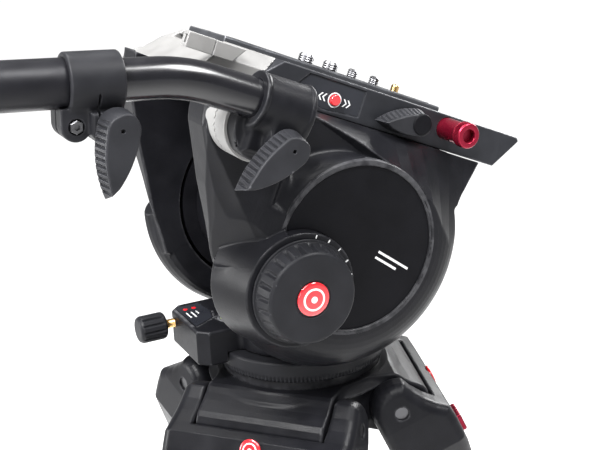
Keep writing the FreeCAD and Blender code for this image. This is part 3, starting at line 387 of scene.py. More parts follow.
# Colour of the lightened edges: rubbed wear and a painted edge highlight together.
EDGE_WEAR_AND_HIGHLIGHT_GREY = (0.25, 0.25, 0.26)
COAT_ROUGH = 0.08
PATCH_MM = 14.0
MARK_STRETCH = (0.2, 0.2, 3.0)
MARK_SCALE = 900
MARK_DEPTH = 0.02


def coating(name, colour, rough, metallic=0.0, grain_mm=0.7, grain_depth=0.05, mottle=0.18,
            edge_wear_and_highlight=0.0, edge_wear_and_highlight_colour=EDGE_WEAR_AND_HIGHLIGHT_GREY, rough_range=0.06, coat=0.0, specular=0.5):
    """A painted, anodised or moulded surface: grain, soft mottling, and lightened edges, part
    rubbed wear and part painted highlight.
    """
    material = bpy.data.materials.new(name)
    made = Finish(material)
    made.shader["Metallic"].default_value = metallic
    made.shader["Coat Weight"].default_value = coat
    made.shader["Coat Roughness"].default_value = COAT_ROUGH
    made.shader["Specular IOR Level"].default_value = specular
    patches = made.noise(PATCH_MM, 4.0)
    dark = tuple(channel * (1 - mottle) for channel in colour)
    light = tuple(channel * (1 + mottle) for channel in colour)
    shade = made.mixed(made.ramp(patches, 0.3, 0.7, 0, 1), dark, light)
    # Pointy edges are lightened towards the edge colour: partly rubbed wear, partly a painted
    # highlight along the crests.
    if edge_wear_and_highlight:
        edges = made.nodes.new("ShaderNodeNewGeometry")
        both = made.nodes.new("ShaderNodeMath")
        both.operation = "MULTIPLY"
        made.link(made.ramp(edges.outputs["Pointiness"], 0.52, 0.60, 0, 1), both.inputs[0])
        made.link(made.ramp(made.noise(5.0, 6.0), 0.35, 0.65, 0.2, 1), both.inputs[1])
        amount = made.ramp(both.outputs["Value"], 0, 1, 0, edge_wear_and_highlight)
        shade = made.mixed(amount, shade, edge_wear_and_highlight_colour)
    made.link(shade, made.shader["Base Color"])
    sheen = made.ramp(patches, 0.3, 0.7, rough - rough_range, rough + rough_range)
    made.link(sheen, made.shader["Roughness"])
    if grain_depth:
        made.bumped(made.noise(grain_mm, 3.0), grain_depth)
    return material


def turned_metal(name, colour, rough):
    """Bright metal with fine tool marks along Z."""
    material = coating(name, colour, rough, metallic=1.0, grain_depth=0.0, mottle=0.08)
    made = Finish(material)
    place = made.nodes.new("ShaderNodeTexCoord")
    stretch = made.nodes.new("ShaderNodeVectorMath")
    stretch.operation = "MULTIPLY"
    stretch.inputs[1].default_value = MARK_STRETCH
    marks = made.nodes.new("ShaderNodeTexNoise")
    marks.inputs["Scale"].default_value = MARK_SCALE
    made.link(place.outputs["Object"], stretch.inputs[0])
    made.link(stretch.outputs["Vector"], marks.inputs["Vector"])
    made.bumped(marks.outputs["Fac"], MARK_DEPTH)
    return material


CAST = coating("cast_black", (0.006, 0.0061, 0.0075), 0.36, grain_mm=0.9, grain_depth=0.07,
               edge_wear_and_highlight=0.4, edge_wear_and_highlight_colour=(0.16, 0.16, 0.17), specular=0.11)
COVER = coating("cover_black", (0.0035, 0.0035, 0.0045), 0.5, grain_mm=0.6, grain_depth=0.05,
                specular=0.07)
KNOB = coating("knob_grey", (0.010, 0.0102, 0.012), 0.46, grain_mm=0.5, grain_depth=0.02,
               edge_wear_and_highlight=0.35, edge_wear_and_highlight_colour=(0.10, 0.10, 0.11), specular=0.12)
LEVER = coating("lever_grey", (0.013, 0.0133, 0.0155), 0.46, grain_mm=0.6, grain_depth=0.03,
                edge_wear_and_highlight=0.4, edge_wear_and_highlight_colour=(0.12, 0.12, 0.13), specular=0.14)
DECK = coating("deck_grey", (0.018, 0.0188, 0.022), 0.40, metallic=0.3, grain_mm=0.5,
               grain_depth=0.03, edge_wear_and_highlight=0.6, edge_wear_and_highlight_colour=(0.3, 0.3, 0.32), specular=0.15)
SILVER = coating("deck_silver", (0.21, 0.207, 0.203), 0.48, metallic=0.4, grain_mm=0.6,
                 grain_depth=0.03, mottle=0.06, edge_wear_and_highlight=0.3, edge_wear_and_highlight_colour=(0.55, 0.55, 0.56))
PLATE = coating("plate_grey", (0.05, 0.052, 0.058), 0.36, metallic=0.6, grain_mm=0.4,
                grain_depth=0.02, edge_wear_and_highlight=0.5, edge_wear_and_highlight_colour=(0.45, 0.45, 0.47))
GLOSS = coating("bar_gloss", (0.004, 0.004, 0.0055), 0.24, grain_depth=0.0, coat=0.1,
                rough_range=0.03, specular=0.45)
MATT = coating("bar_matt", (0.007, 0.007, 0.009), 0.42, metallic=0.2, grain_mm=0.5,
               grain_depth=0.02, specular=0.2)
RUBBER = coating("rubber_black", (0.010, 0.010, 0.011), 0.72, grain_mm=0.8, grain_depth=0.06,
                 specular=0.15)
TUBE = coating("tube_black", (0.009, 0.0095, 0.0115), 0.34, metallic=0.3, grain_mm=0.5,
               grain_depth=0.015, specular=0.2)
ALLOY = coating("core_black", (0.006, 0.006, 0.0075), 0.40, metallic=0.3, grain_mm=0.8,
                grain_depth=0.04, specular=0.12)
TOOTHED = coating("rosette_satin", (0.20, 0.198, 0.195), 0.42, metallic=0.15, grain_mm=0.5,
                  grain_depth=0.02, mottle=0.08)
RED_METAL = coating("anodised_red", (0.20, 0.006, 0.022), 0.28, metallic=0.75, grain_mm=0.4,
                    grain_depth=0.01, mottle=0.1)
RED_GLOSS = coating("gloss_red", (0.55, 0.012, 0.018), 0.16, grain_depth=0.0, mottle=0.06,
                    coat=0.8)
MARK = coating("mark_white", (0.55, 0.55, 0.55), 0.5, grain_mm=0.3, grain_depth=0.005,
               mottle=0.06)
LABEL = coating("label_dark", (0.014, 0.015, 0.019), 0.3, grain_mm=0.4, grain_depth=0.008,
                specular=0.2)
VIAL = coating("level_glass", (0.42, 0.5, 0.22), 0.08, grain_depth=0.0, mottle=0.1, coat=1.0)
STEEL = turned_metal("screw_steel", (0.24, 0.24, 0.25), 0.34)
DARK_STEEL = turned_metal("pin_dark", (0.10, 0.10, 0.105), 0.35)
BRASS = turned_metal("pin_brass", (0.55, 0.36, 0.15), 0.28)


# ---------------------------------------------------------------- shared shapes

def dense(profile, longest):
    """The same profile with its long runs divided."""
    made = [profile[0]]
    for start, end in zip(profile, profile[1:]):
        parts = max(1, math.ceil(math.dist(start, end) / longest))
        for part in range(1, parts + 1):
            share = part / parts
            made.append((start[0] + (end[0] - start[0]) * share,
                         start[1] + (end[1] - start[1]) * share))
    return made


def bowed(start, end, rise, count=6):
    """Points from start to end on a shallow bow that stands out to the right by rise."""
    run = math.dist(start, end)
    side = ((end[1] - start[1]) / run, (start[0] - end[0]) / run)
    points = []
    for share in np.linspace(0, 1, count):
        lift = 4 * rise * share * (1 - share)
        points.append((start[0] + (end[0] - start[0]) * share + side[0] * lift,
                       start[1] + (end[1] - start[1]) * share + side[1] * lift))
    return points


def window(value, low, high, fade):
    """1 between low and high, fading to 0 over fade outside them."""
    return np.clip(np.minimum(value - low, high - value) / fade + 1, 0, 1)


def flutes(number, depth, low, high, fade=1.5, sharpness=2.0):
    """A wave for lathed(): that many flutes round the piece between two heights."""
    def wave(height, angle):
        dip = np.maximum(np.cos(number * angle), 0) ** sharpness
        return depth * dip * window(height, low, high, fade)
    return wave


LEVER_PITCH = 2.9
LEVER_EDGE = 0.8
RIB_DEPTH = 1.3


def leaf(head, reach):
    """The outline of a leaf: a round head at 0 and convex sides that meet at its tip."""
    steps = np.linspace(0, 1, 12)
    half = head * (1 - steps ** 2.3)
    right = [(reach * step, -wide) for step, wide in zip(steps, half)]
    left = [(u, -v) for u, v in right[::-1]][1:]
    return right + left + arc((0, 0), head, 90, 270, 14)[1:-1]


def lever_field(head, reach, thick, stem, stem_length):
    """A leaf-shaped clamp lever with ribs down one thick flank and a screw in its face."""
    corners = leaf(head, reach)
    ridged = reach * 0.9

    def field(x, y, z):
        flat = outline(x, y, corners)
        draft = 0.2 - 0.1 * np.clip(y / 3, -1, 1)
        ribs = np.maximum(np.cos(2 * math.pi * x / LEVER_PITCH), -0.2) + 0.2
        ribs = ribs * window(x, -head * 0.2, ridged, 1.5) * window(z, 0.8, thick - 1.8, 0.4)
        ribs = ribs * np.clip(0.5 - y / 2, 0, 1)
        body = flat + draft * np.clip(z - 1, 0, thick) + RIB_DEPTH * 0.8 * ribs
        body = prism(body, between(z, 0, thick), LEVER_EDGE)
        body = carve(body, prism(disc(x, y, 1.0), thick - 2 - z), 0.2)
        return join(body, prism(disc(x, y, stem - 0.1), between(z, 0.5 - stem_length, 1)), 0.4)
    return field


def add_lever(name, place, body, head, reach, thick, stem, stem_length):
    lever = moulded(name + "_ribbed", lever_field(head, reach, thick, stem, stem_length),
                    (-head - 2, -head - 2, -stem_length - 1), (reach + 2, head + 2, thick + 2),
                    0.4, place)
    return finished(lever, body, LEVER, [name])


def swung(angle):
    """A direction in the head's side plane, angle degrees up from +X."""
    return (math.cos(math.radians(angle)), 0, math.sin(math.radians(angle)))


# ---------------------------------------------------------------- crown and legs

PIVOT_REACH = (pivot("leg_1_spread") - pivot("tilt")).to_2d().length / MM
PIVOT_Z = (pivot("leg_1_spread") - pivot("tilt")).z / MM
RIM_Z = -93
HUB_Z = -127
RIM_R = 53
LOBE_R = 22
LOBE_HALF = 40
BOWL_R = 49.3
BOWL_END = -118
YOKE_HALF = 58
YOKE_SLOT = 41
ARM_R = 17
SHIELD_X = 28.5
SHIELD_TOP = -4
BADGE_Z = -17
FLARE = [(51, -93.3), (53.5, -94.6), (57, -97.4), (61, -100), (65, -101.8), (68.3, -103.6),
         (70.8, -106.3), (72.4, -109.6), (73, -113)]


def crown_field(x, y, z):
    """A short neck, a bell that flares into three lobes, and an open bowl."""
    third = 2 * math.pi / 3
    around = np.arctan2(y, x)
    around = around - third * np.round(around / third)
    reach = np.hypot(x, y)
    u, v = reach * np.cos(around), reach * np.sin(around)
    hub = outline(reach, z, [(0, HUB_Z), (RIM_R - 4, HUB_Z), (RIM_R, HUB_Z + 6),
                             (RIM_R + 0.6, RIM_Z - 6), (RIM_R, RIM_Z), (0, RIM_Z)])
    side = [(20, HUB_Z), (20, RIM_Z - 0.3)] + FLARE
    side += arc((PIVOT_REACH, PIVOT_Z), LOBE_R, 0, -90, 8) + [(PIVOT_REACH - LOBE_R, HUB_Z)]
    lobe = prism(outline(u, z, side), within(v, LOBE_HALF), 1.6)
    roof = outline(reach, z, [(30, RIM_Z - 4), (RIM_R, RIM_Z - 1), (RIM_R + 5.5, RIM_Z - 5.2),
                              (RIM_R + 5.2, RIM_Z - 6.4), (30, RIM_Z - 6.6)])
    crown = meet(join(join(hub, roof, 1.5), lobe, 4.0), z - RIM_Z, 0.6)
    bowl = np.sqrt(reach ** 2 + (z - RIM_Z) ** 2) - BOWL_R
    hollow = meet(bowl, BOWL_END - z)
    crown = carve(crown, hollow, 0.4)
    crown = carve(crown, prism(disc(reach, 0, 17), z - BOWL_END - 1), 0.3)
    return carve(crown, np.hypot(u - PIVOT_REACH, z - PIVOT_Z) - 4.0)


def yoke_field(x, y, z):
    """The leg's top casting: two round-topped arms and a shield over the crown's lobe."""
    side = arc((0, 0), ARM_R, 180, 62, 9)
    side += bowed((ARM_R * 0.55, ARM_R * 0.83), (SHIELD_X - 1, -12), 2.2, 5)
    side += [(SHIELD_X, -22), (SHIELD_X, -42), (23, -110), (-20, -110), (-ARM_R, -40)]
    narrow = outline(y, z, [(-YOKE_HALF + 3, 22), (YOKE_HALF - 3, 22), (YOKE_HALF, -8),
                            (YOKE_HALF, -34), (26, -106), (24, -116), (-24, -116), (-26, -106),
                            (-YOKE_HALF, -34), (-YOKE_HALF, -8)])
    edge = 6.5
    flat = outline(x, z, side)
    yoke = prism(flat, narrow, edge)
    socket = prism(disc(x, y, 23), between(z, -120, -70), 1.5)
    yoke = join(yoke, socket, 5.0)
    inner = LOBE_R + 0.6
    gap = outline(x, z, [(-60, 60), (60, 60), (60, SHIELD_TOP)]
                  + arc((0, 0), inner, -10.2, -90, 10) + [(-60, -inner)])
    yoke = carve(yoke, prism(gap, within(y, YOKE_SLOT)), 2.2)
    yoke = carve(yoke, prism(disc(x, y, 18.05), z + 78))
    yoke = carve(yoke, disc(x, z, 4.05), 0.5)
    pocket = box(x, y, z, (8, -9.4, -60.4), (60, 9.4, -47.6), 1.0)
    dimple = np.sqrt((x - SHIELD_X - 26) ** 2 + y ** 2 + (z - BADGE_Z) ** 2) - 27.2
    return carve(carve(yoke, pocket, 0.8), dimple, 0.8)


def lock_field(x, y, z):
    """The clamp collar at the foot of an upper leg tube, with the ears of its lever."""
    reach = np.hypot(x, y)
    collar = outline(reach, z, [(14.05, -605), (20, -605), (23, -602), (23, -571), (22.2, -570),
                                (22.2, -566), (23, -565), (23, -534), (19.5, -530),
                                (18.02, -530), (18.02, -560), (14.05, -560)])
    ear = join(disc(x, y, 6, (29, 0)), prism(between(x, 18, 29), within(y, 6)))
    ears = join(prism(ear, between(z, -595, -589), 0.8), prism(ear, between(z, -551, -545), 0.8))
    slit = prism(prism(between(x, 12, 23.2), within(y, 0.7)), between(z, -589, -566))
    lock = carve(join(collar, ears, 1.2), slit)
    lock = carve(lock, disc(reach, 0, 14.05))
    return join(lock, prism(disc(x, y, 2.4, (29, 0)), between(z, -594, -546)), 0.2)


def flip_field(x, y, z):
    """The lever that wraps the collar and closes it."""
    reach = np.hypot(x, y)
    turn = np.degrees(np.arctan2(y, x))
    grip = 28.2 + 0.5 * np.cos(np.radians(turn * 36)) * window(turn, 62, 100, 6)
    wide = grip + 0.03 * np.maximum(turn - 62, 0)
    plate = np.maximum(reach - wide, 24.0 - reach)
    plate = np.maximum(plate, np.maximum(3.5 - turn, turn - 114) * 0.42)
    root = disc(x, y, 5, (29, 0))
    lever = prism(join(plate, root, 1.0), between(z, -588.6, -551.4), 1.0)
    return carve(lever, disc(x, y, 2.55, (29, 0)), 0.3)


def foot_field(place):
    """A ribbed rubber foot, worn flat where it stands on the floor."""
    tilt_x, tilt_y, tilt_z, height = np.array(place)[2] / MM

    def field(x, y, z):
        reach = np.hypot(x, y)
        ribs = 0.5 * np.cos(2 * math.pi * z / 5) * window(z, -692, -660, 2)
        ball = np.sqrt(reach ** 2 + (z + 700) ** 2) - 18
        collar = prism(reach - 17.4 + np.maximum(ribs, 0), between(z, -700, -652), 1.2)
        foot = join(ball, collar, 0.5)
        foot = carve(foot, prism(reach - 14, -682 - z))
        above = tilt_x * x + tilt_y * y + tilt_z * z + height
        return meet(foot, -above, 0.4)
    return field


def add_badge(name, place, body, radius):
    """A domed red badge with a plain white ring round a dot."""
    height = radius * 0.12
    dome = [(radius * math.sin(turn), height * math.cos(turn) + 0.8)
            for turn in np.linspace(0.02, math.pi / 2, 10)]
    piece = lathed(name, place, dome + [(radius, 0), (radius - 0.4, -0.6)], 64)
    finished(piece, body, RED_GLOSS)
    for part, inner, outer in (("ring", 0.56, 0.68), ("dot", 0.02, 0.2)):
        rims = [(radius * share, height * math.sqrt(1 - share ** 2) + 0.8)
                for share in np.linspace(outer, inner, 4)]
        top = [(wide, up + 0.06) for wide, up in rims]
        low = [(wide, up - 0.2) for wide, up in rims[::-1]]
        mark = lathed(f"{name}_{part}", place, top + low + [top[0]], 64)
        finished(mark, body, MARK)


def add_crown():
    crown = moulded("crown_casting", crown_field, (-80, -80, -140), (80, 80, -88), 0.85, STAND)
    finished(crown, "crown", CAST, ["crown"])


def add_leg(leg):
    place = LEG_FRAMES[leg]
    body = f"leg_{leg}"
    yoke = moulded(f"{body}_yoke_casting", yoke_field, (-25, -62, -124), (34, 62, 22), 0.85, place)
    finished(yoke, body, CAST, [f"{body}_yoke"])
    tube = lathed(f"{body}_upper_tube_smooth", place,
                  [(18, -560), (18, -78.2), (17, -78.2), (16, -79), (16, -559.5), (18, -560)], 72)
    finished(tube, body, TUBE, [f"{body}_upper_tube"])
    lock = moulded(f"{body}_lock_collar", lock_field, (-26, -26, -608), (38, 26, -527), 0.8, place)
    finished(lock, body, KNOB, [f"{body}_lock"])
    flip = moulded(f"{body}_lock_lever_ribbed", flip_field, (-16, -8, -592), (38, 34, -548),
                   0.7, place)
    finished(flip, f"{body}_lock_lever", LEVER, [f"{body}_lock_lever"])
    lower = lathed(f"{body}_lower_tube_smooth", place,
                   [(14, -682), (14, -140), (12.5, -140), (12.5, -681.8), (14, -682)], 64)
    finished(lower, f"{body}_slide", TUBE, [f"{body}_lower_tube"])
    foot = moulded(f"{body}_foot_ribbed", foot_field(place), (-20, -20, -720), (20, 20, -650),
                   0.8, place)
    finished(foot, f"{body}_slide", RUBBER, [f"{body}_foot"])
    catch = box_catch(f"{body}_angle_catch_cap", place)
    finished(catch, f"{body}_angle_catch", RED_METAL, [f"{body}_angle_catch"])
    badge = shifted(place, SHIELD_X - 0.9, 0, BADGE_Z, Y_DIR, X_DIR)
    add_badge(f"{body}_badge", badge, body, 6.4)


def box_catch(name, place):
    def field(x, y, z):
        cap = box(x, y, z, (12, -9, -60), (33, 9, -48), 1.4)
        grooves = 0.45 * np.maximum(np.cos(2 * math.pi * y / 3), 0) * window(x, 31, 34, 1)
        return cap + grooves
    return moulded(name, field, (10, -11, -62), (35, 11, -46), 0.5, place)


# ---------------------------------------------------------------- ball, pan base and level

def hoop(inner, outer, low, high):
    """The closed profile of a flat ring."""
    return [(inner, low), (outer, low), (outer, high), (inner, high), (inner, low)]


def teeth(number, depth, low, high):
    """A fine saw edge round a ring between two heights."""
    def wave(height, angle):
        return depth * (0.5 + 0.5 * np.cos(number * angle)) * window(height, low, high, 0.3)
    return wave


def threaded(radius, low, high, pitch, depth):
    """Corners of a threaded rod, its ends eased."""
    corners = [(radius - depth - 0.6, low)]
    turns = int((high - low) / pitch)
    for turn in range(turns):
        start = low + (turn + 0.3) * pitch
        corners += [(radius - depth, start), (radius, start + 0.4 * pitch)]
    return corners + [(radius - depth - 0.6, high)]


def slab(name, place, corners, low, high):
    """A flat plate from an outline in local X and Y."""
    count = len(corners)
    points = [(x, y, low) for x, y in corners] + [(x, y, high) for x, y in corners]
    faces = [list(range(count))[::-1], list(range(count, 2 * count))]
    return add_object(name, points, faces + walls(2, count), place, sharp=30)


def add_mark(name, place, body, corners, low, high):
    """A flat white mark, a hair proud of the face it is on."""
    finished(slab(name, place, corners, low, high), body, MARK)


def add_ball():
    grip = [(6.05, -189), (6.05, -141.5), (20, -141.5), (23, -144.5), (23, -150), (19, -155),
            (14.5, -159), (13, -164), (14, -178), (15, -200), (11, -205), (0.3, -205)]
    piece = turned("ball_clamp_knob_ribbed", LEVEL, grip[::-1], 1.6, 2.2, 160,
                   flutes(16, 1.0, -198, -162, 3, 1.5))
    finished(piece, "ball_clamp_knob", RUBBER, ["ball_clamp_knob"])
    stud = lathed("ball_stud_threaded", LEVEL, threaded(6, -188, -100, 1.75, 0.8), 48, sharp=50)
    finished(stud, "half_ball", STEEL, ["ball_stud"])


def add_drag_ring():
    ring = [(43.9, -87.8), (51.5, -87.8), (52.5, -86.6), (52.5, -76.6), (51.5, -75.5),
            (43.9, -75.5), (43.9, -87.8)]
    piece = turned("pan_drag_ring_toothed", LEVEL, ring, 0.6, 0.9, 540,
                   teeth(135, 0.7, -88, -84.4))
    finished(piece, "pan_drag_ring", KNOB, ["pan_drag_ring"])


CORE_R = 46
LABEL_CORNERS = [(-67, 40), (-52, 40), (-50, 24), (-53, 13), (-66.5, 5)]


def pan_field(x, y, z):
    """The turntable, the saddle under the fluid core, and the block behind it."""
    reach = np.hypot(x, y)
    table = prism(reach - 44.4, between(z, -75.2, -66), 1.2)
    column = prism(prism(within(x, 36), within(y, 36), 6), between(z, -72, -10), 1)
    block = prism(outline(x, y, [(-30, -9), (-64, -9), (-70, -3), (-70, 38), (-64, 44), (-30, 44)]),
                  between(z, -82, -60), 1.6)
    block = carve(block, prism(reach - 53.4, z + 75.2), 0.6)
    pan = join(join(table, column, 5.0), block, 3.0)
    pan = carve(pan, np.hypot(x, z) - CORE_R - 0.02)
    label = prism(outline(x, y, LABEL_CORNERS) - 0.6, -60.5 - z)
    pan = carve(pan, label, 0.3)
    pan = carve(pan, prism(disc(x, y, 7.5, (-44, 7)), -64 - z), 0.3)
    return carve(pan, prism(disc(y, z, 3.05, (36, -68)), x + 55), 0.3)


def add_pan():
    pan = moulded("pan_base_casting", pan_field, (-73, -47, -84), (46, 47, -8), 0.8, LEVEL)
    finished(pan, "pan", CAST, ["pan_base"])
    label = slab("pan_base_label", LEVEL, LABEL_CORNERS, -60.5, -60.1)
    finished(label, "pan", LABEL)
    for bar, reach in enumerate((9, 9, 5)):
        left = -64.5 + 3.2 * bar
        corners = [(left, 28 - reach), (left + 0.9, 28 - reach), (left + 0.9, 28), (left, 28)]
        add_mark(f"pan_base_label_bar_{bar + 1}", LEVEL, "pan", corners, -60.2, -60.04)
    for spot, (dot_x, dot_y) in enumerate(((-62.5, 33.5), (-57, 33.5)), 1):
        dot = lathed(f"pan_base_label_dot_{spot}", shifted(LEVEL, dot_x, dot_y, -60),
                     [(1.5, -0.2), (1.5, 0), (1.2, 0.04)], 32)
        finished(dot, "pan", RED_GLOSS)
    vial = shifted(LEVEL, -44, 7, -60)
    rim = lathed("bubble_level_rim", vial, [(5.7, -3.9), (7.4, -3.9), (7.4, 0.2), (7.0, 0.6),
                                            (6.1, 0.6), (5.7, 0.2), (5.7, -3.9)], 64)
    finished(rim, "pan", PLATE, ["bubble_level"])
    glass = lathed("bubble_level_glass", vial, [(5.6, -3.9), (5.6, -0.1), (4.6, 0.2), (2.6, 0.42),
                                                (0.3, 0.5)], 64)
    finished(glass, "pan", VIAL)
    for part, radius in (("bubble", 2.0), ("target", 2.8)):
        ring = lathed(f"bubble_level_{part}", vial, hoop(radius - 0.25, radius, 0.3, 0.5), 48)
        finished(ring, "pan", LABEL)
    lock = shifted(LEVEL, -70, 36, -68, Y_DIR, -X_DIR)
    shape = [(3.1, 6), (7.2, 6), (8.5, 7.5), (8.5, 21.5), (7.2, 23.5), (0.3, 23.5)]
    head = turned("pan_lock_knob_ribbed", lock, shape, 0.9, 1.4, 144,
                  flutes(12, 1.0, 9, 20, 2, 1.6))
    finished(head, "pan_lock_knob", KNOB, ["pan_lock_knob"])
    stem = lathed("pan_lock_stem", lock, threaded(3, -13.8, 6.2, 1.0, 0.35), 40, sharp=50)
    finished(stem, "pan_lock_knob", BRASS)


# ---------------------------------------------------------------- cheeks

CHEEK_IN = 46
DRUM = ([(0, CHEEK_IN), (68, CHEEK_IN)] + bowed((68, CHEEK_IN), (76, 57), 1.6, 5)[1:]
        + bowed((76, 57), (48.2, 78), 6.4, 12)[1:] + [(0, 78)])
ARM = [(-108, 64), (-105.2, 41), (-90.8, 11.6), (-78.2, -9.3), (-60.3, -42.2), (-52, -50),
       (-38, -18), (-50, 12), (-58, 64)]
SKIRT = [(-108, 64), (-104, 44), (-73, -13), (-52, -50), (0, 0), (69, 36), (84, 64)]
RIDGE_X = [-44, -38, -16, 8, 18, 30, 50, 72]
RIDGE_Z = [62, 61.5, 57, 50, 44.5, 39, 33, 33]
CREST_X = [-44, -16, 8, 18, 26, 38, 50, 60, 72]
CREST_OUT = [64, 66, 68.5, 71, 75.5, 77, 70.5, 65, 60]
VALLEY = [(-57.5, 70), (-16, 70), (8, 62), (18, 54), (30, 42), (0, 0), (-57.5, 12)]
BALANCE = (-30, -28)
ROSETTE = (-88, 50)
ROSETTE_R = 18.4
ROSETTE_FACE = 5
RECESS_R = 46.7
CORE_BORE = 56
CORE_OUT = 58
AXLE_BORE = 8.05
COVER_OUT = 70
VALLEY_OUT = 62.5
ARM_OUT = 72
SLOPE_IN = 45.5
SLOPE_TOP = 66.5
SLOPE_REAR = -44
DECK_FLOOR = 63.98
HOUSING_R = 32
HOUSING_IN = 53.4
HOUSING_OUT = 84.5
TEETH = 36
TOOTH_DEPTH = 1.5
TOOTH_GAP = 0.55


def housing_field(x, z, out, reach):
    """The cone that carries the counterbalance knob, cut off by the round cover."""
    housing = disc(x, z, HOUSING_R, BALANCE)
    cone = housing - np.clip(HOUSING_OUT - out, 0, 30) * 0.25
    cone = prism(cone, between(out, HOUSING_IN, HOUSING_OUT), 0.8)
    cone = meet(cone, 46.9 - reach, 0.3)
    return join(cone, prism(housing, between(out, 69.9, HOUSING_OUT), 0.8))


def cheek_field(side):
    """One side casting: drum, rear arm, skirt under the deck, and the knob's housing."""
    def field(x, y, z):
        out = side * y
        reach = np.hypot(x, z)
        drum = outline(reach, out, DRUM)
        # The skirt stands proud above a curved ridge, and falls to the valley's floor below it.
        ridge = np.interp(x, RIDGE_X, RIDGE_Z)
        crest = np.interp(x, CREST_X, CREST_OUT)
        floor = np.maximum(crest - 0.9 * (ridge - z), VALLEY_OUT)
        skirt = prism(outline(x, z, SKIRT), between(out, CHEEK_IN, 80), 1.0)
        skirt = meet(skirt, (out - floor) * 0.74, 0.4)
        # The drum keeps a ramp round the cover, whose centre moves as it narrows outwards.
        share = np.clip((out - 64) / 14, 0, 1)
        offset = 1 - share
        boss = np.hypot(x + 9 * offset, z + 12 * offset) - (61 - 11.5 * share)
        valley = meet(outline(x, z, VALLEY), (floor - out) * 0.74, 0.4)
        valley = meet(valley, -boss * 0.75, 3.0)
        body = join(carve(drum, valley, 4.0), skirt, 2.5)
        # From the ridge the casting leans in to the deck.
        climb = (crest - SLOPE_IN) / np.maximum(SLOPE_TOP - ridge, 4.5)
        slope = (out - SLOPE_IN - (SLOPE_TOP - z) * climb) / np.hypot(1, climb)
        slope = np.where(x < SLOPE_REAR, np.minimum(slope, x - SLOPE_REAR), slope)
        body = meet(body, slope, 0.8)
        # A long bevel runs down the arm, and over the drum above the line where they meet.
        fall = (x + 100.3) * 0.714 + (z - 34.3) * 0.70
        above = (z + 26.8) * 0.74 - (x + 65.4) * 0.67
        bevel = (ARM_OUT + 1.3 * fall - out) / 1.64
        arm = carve(prism(outline(x, z, ARM), between(out, CHEEK_IN, ARM_OUT), 2.0), bevel, 0.5)
        cheek = join(carve(body, np.maximum(bevel, -above), 0.5), arm, 6.0)
        top = prism(between(x, -88, 58), between(z, 56, 64))
        cheek = join(cheek, prism(top, between(out, 36, 47)), 1.0)
        cheek = carve(cheek, prism(reach - RECESS_R, COVER_OUT - out), 0.5)
        if side == NEAR:
            cheek = join(cheek, housing_field(x, z, out, reach), 1.2)
            cheek = carve(cheek, prism(disc(x, z, 5.05, BALANCE), 72 - out), 0.3)
        else:
            cheek = carve(cheek, prism(disc(x, z, 4.05, (-60, -8)), 59 - out), 0.3)
        cheek = carve(cheek, prism(reach - CORE_BORE, out - CORE_OUT), 0.5)
        cheek = carve(cheek, reach - AXLE_BORE)
        cheek = meet(cheek, z - DECK_FLOOR)
        rosette = prism(disc(x, z, ROSETTE_R, ROSETTE), between(out, CHEEK_IN, 66.5), 0.6)
        cheek = join(cheek, rosette, 1.5)
        cheek = carve(cheek, disc(x, z, 2.5, ROSETTE), 0.3)
        return meet(cheek, np.where((z > 55) & (x > -90), 36 - out, CHEEK_IN - out), 0.5)
    return field


def toothed_face(x, y, reach):
    """The height of a rosette's radial teeth."""
    tooth = np.abs(((np.arctan2(y, x) * TEETH / math.pi) % 2) - 1)
    return ROSETTE_FACE - TOOTH_DEPTH * tooth * window(reach, 7.5, 20, 0.8)


def rosette_field(x, y, z):
    """A disc whose face is cut into radial teeth."""
    reach = np.hypot(x, y)
    face = toothed_face(x, y, reach)
    disc_part = np.maximum(prism(reach - ROSETTE_R, -9 - z, 0.3), (z - face) * 0.7)
    return carve(disc_part, reach - 2.5)


def add_cheeks():
    for name, side in (("near", NEAR), ("far", FAR)):
        low, high = sorted((side * 34, side * 87))
        cheek = moulded(f"{name}_cheek_casting", cheek_field(side), (-114, low, -79),
                        (88, high, 69), 0.75, TILTED)
        finished(cheek, "tilt", CAST, [f"{name}_cheek"])
        place = shifted(TILTED, ROSETTE[0], side * 75, ROSETTE[1], X_DIR, Y_DIR * side)
        toothed = moulded(f"{name}_rosette_toothed", rosette_field, (-20, -20, -10), (20, 20, 6),
                          0.4, place)
        finished(toothed, "tilt", TOOTHED, ["rosettes"])
        rim = lathed(f"{name}_cheek_rim", shifted(TILTED, 0, 0, 0, X_DIR, Y_DIR * side),
                     [(RECESS_R, 70.4), (50, 70.4), (50, 77), (49.4, 78), (47.2, 78),
                      (RECESS_R, 77.5), (RECESS_R, 70.4)], 160)
        finished(rim, "tilt", CAST, [f"{name}_cheek"])
    mark = shifted(TILTED, 26, -77, -1, swung(-14), -Y_DIR)
    for bar, (left, right) in enumerate(((-12, 11), (-12, 4)), 1):
        rise = 2.4 - 3.6 * bar
        add_mark(f"near_cover_mark_{bar}", mark, "tilt",
                 [(left, rise), (right, rise), (right, rise + 1.3), (left, rise + 1.3)],
                 -0.1, 0.08)


# ---------------------------------------------------------------- knobs

TICKS = 9
TICK_START = -35
TICK_STEP = 16


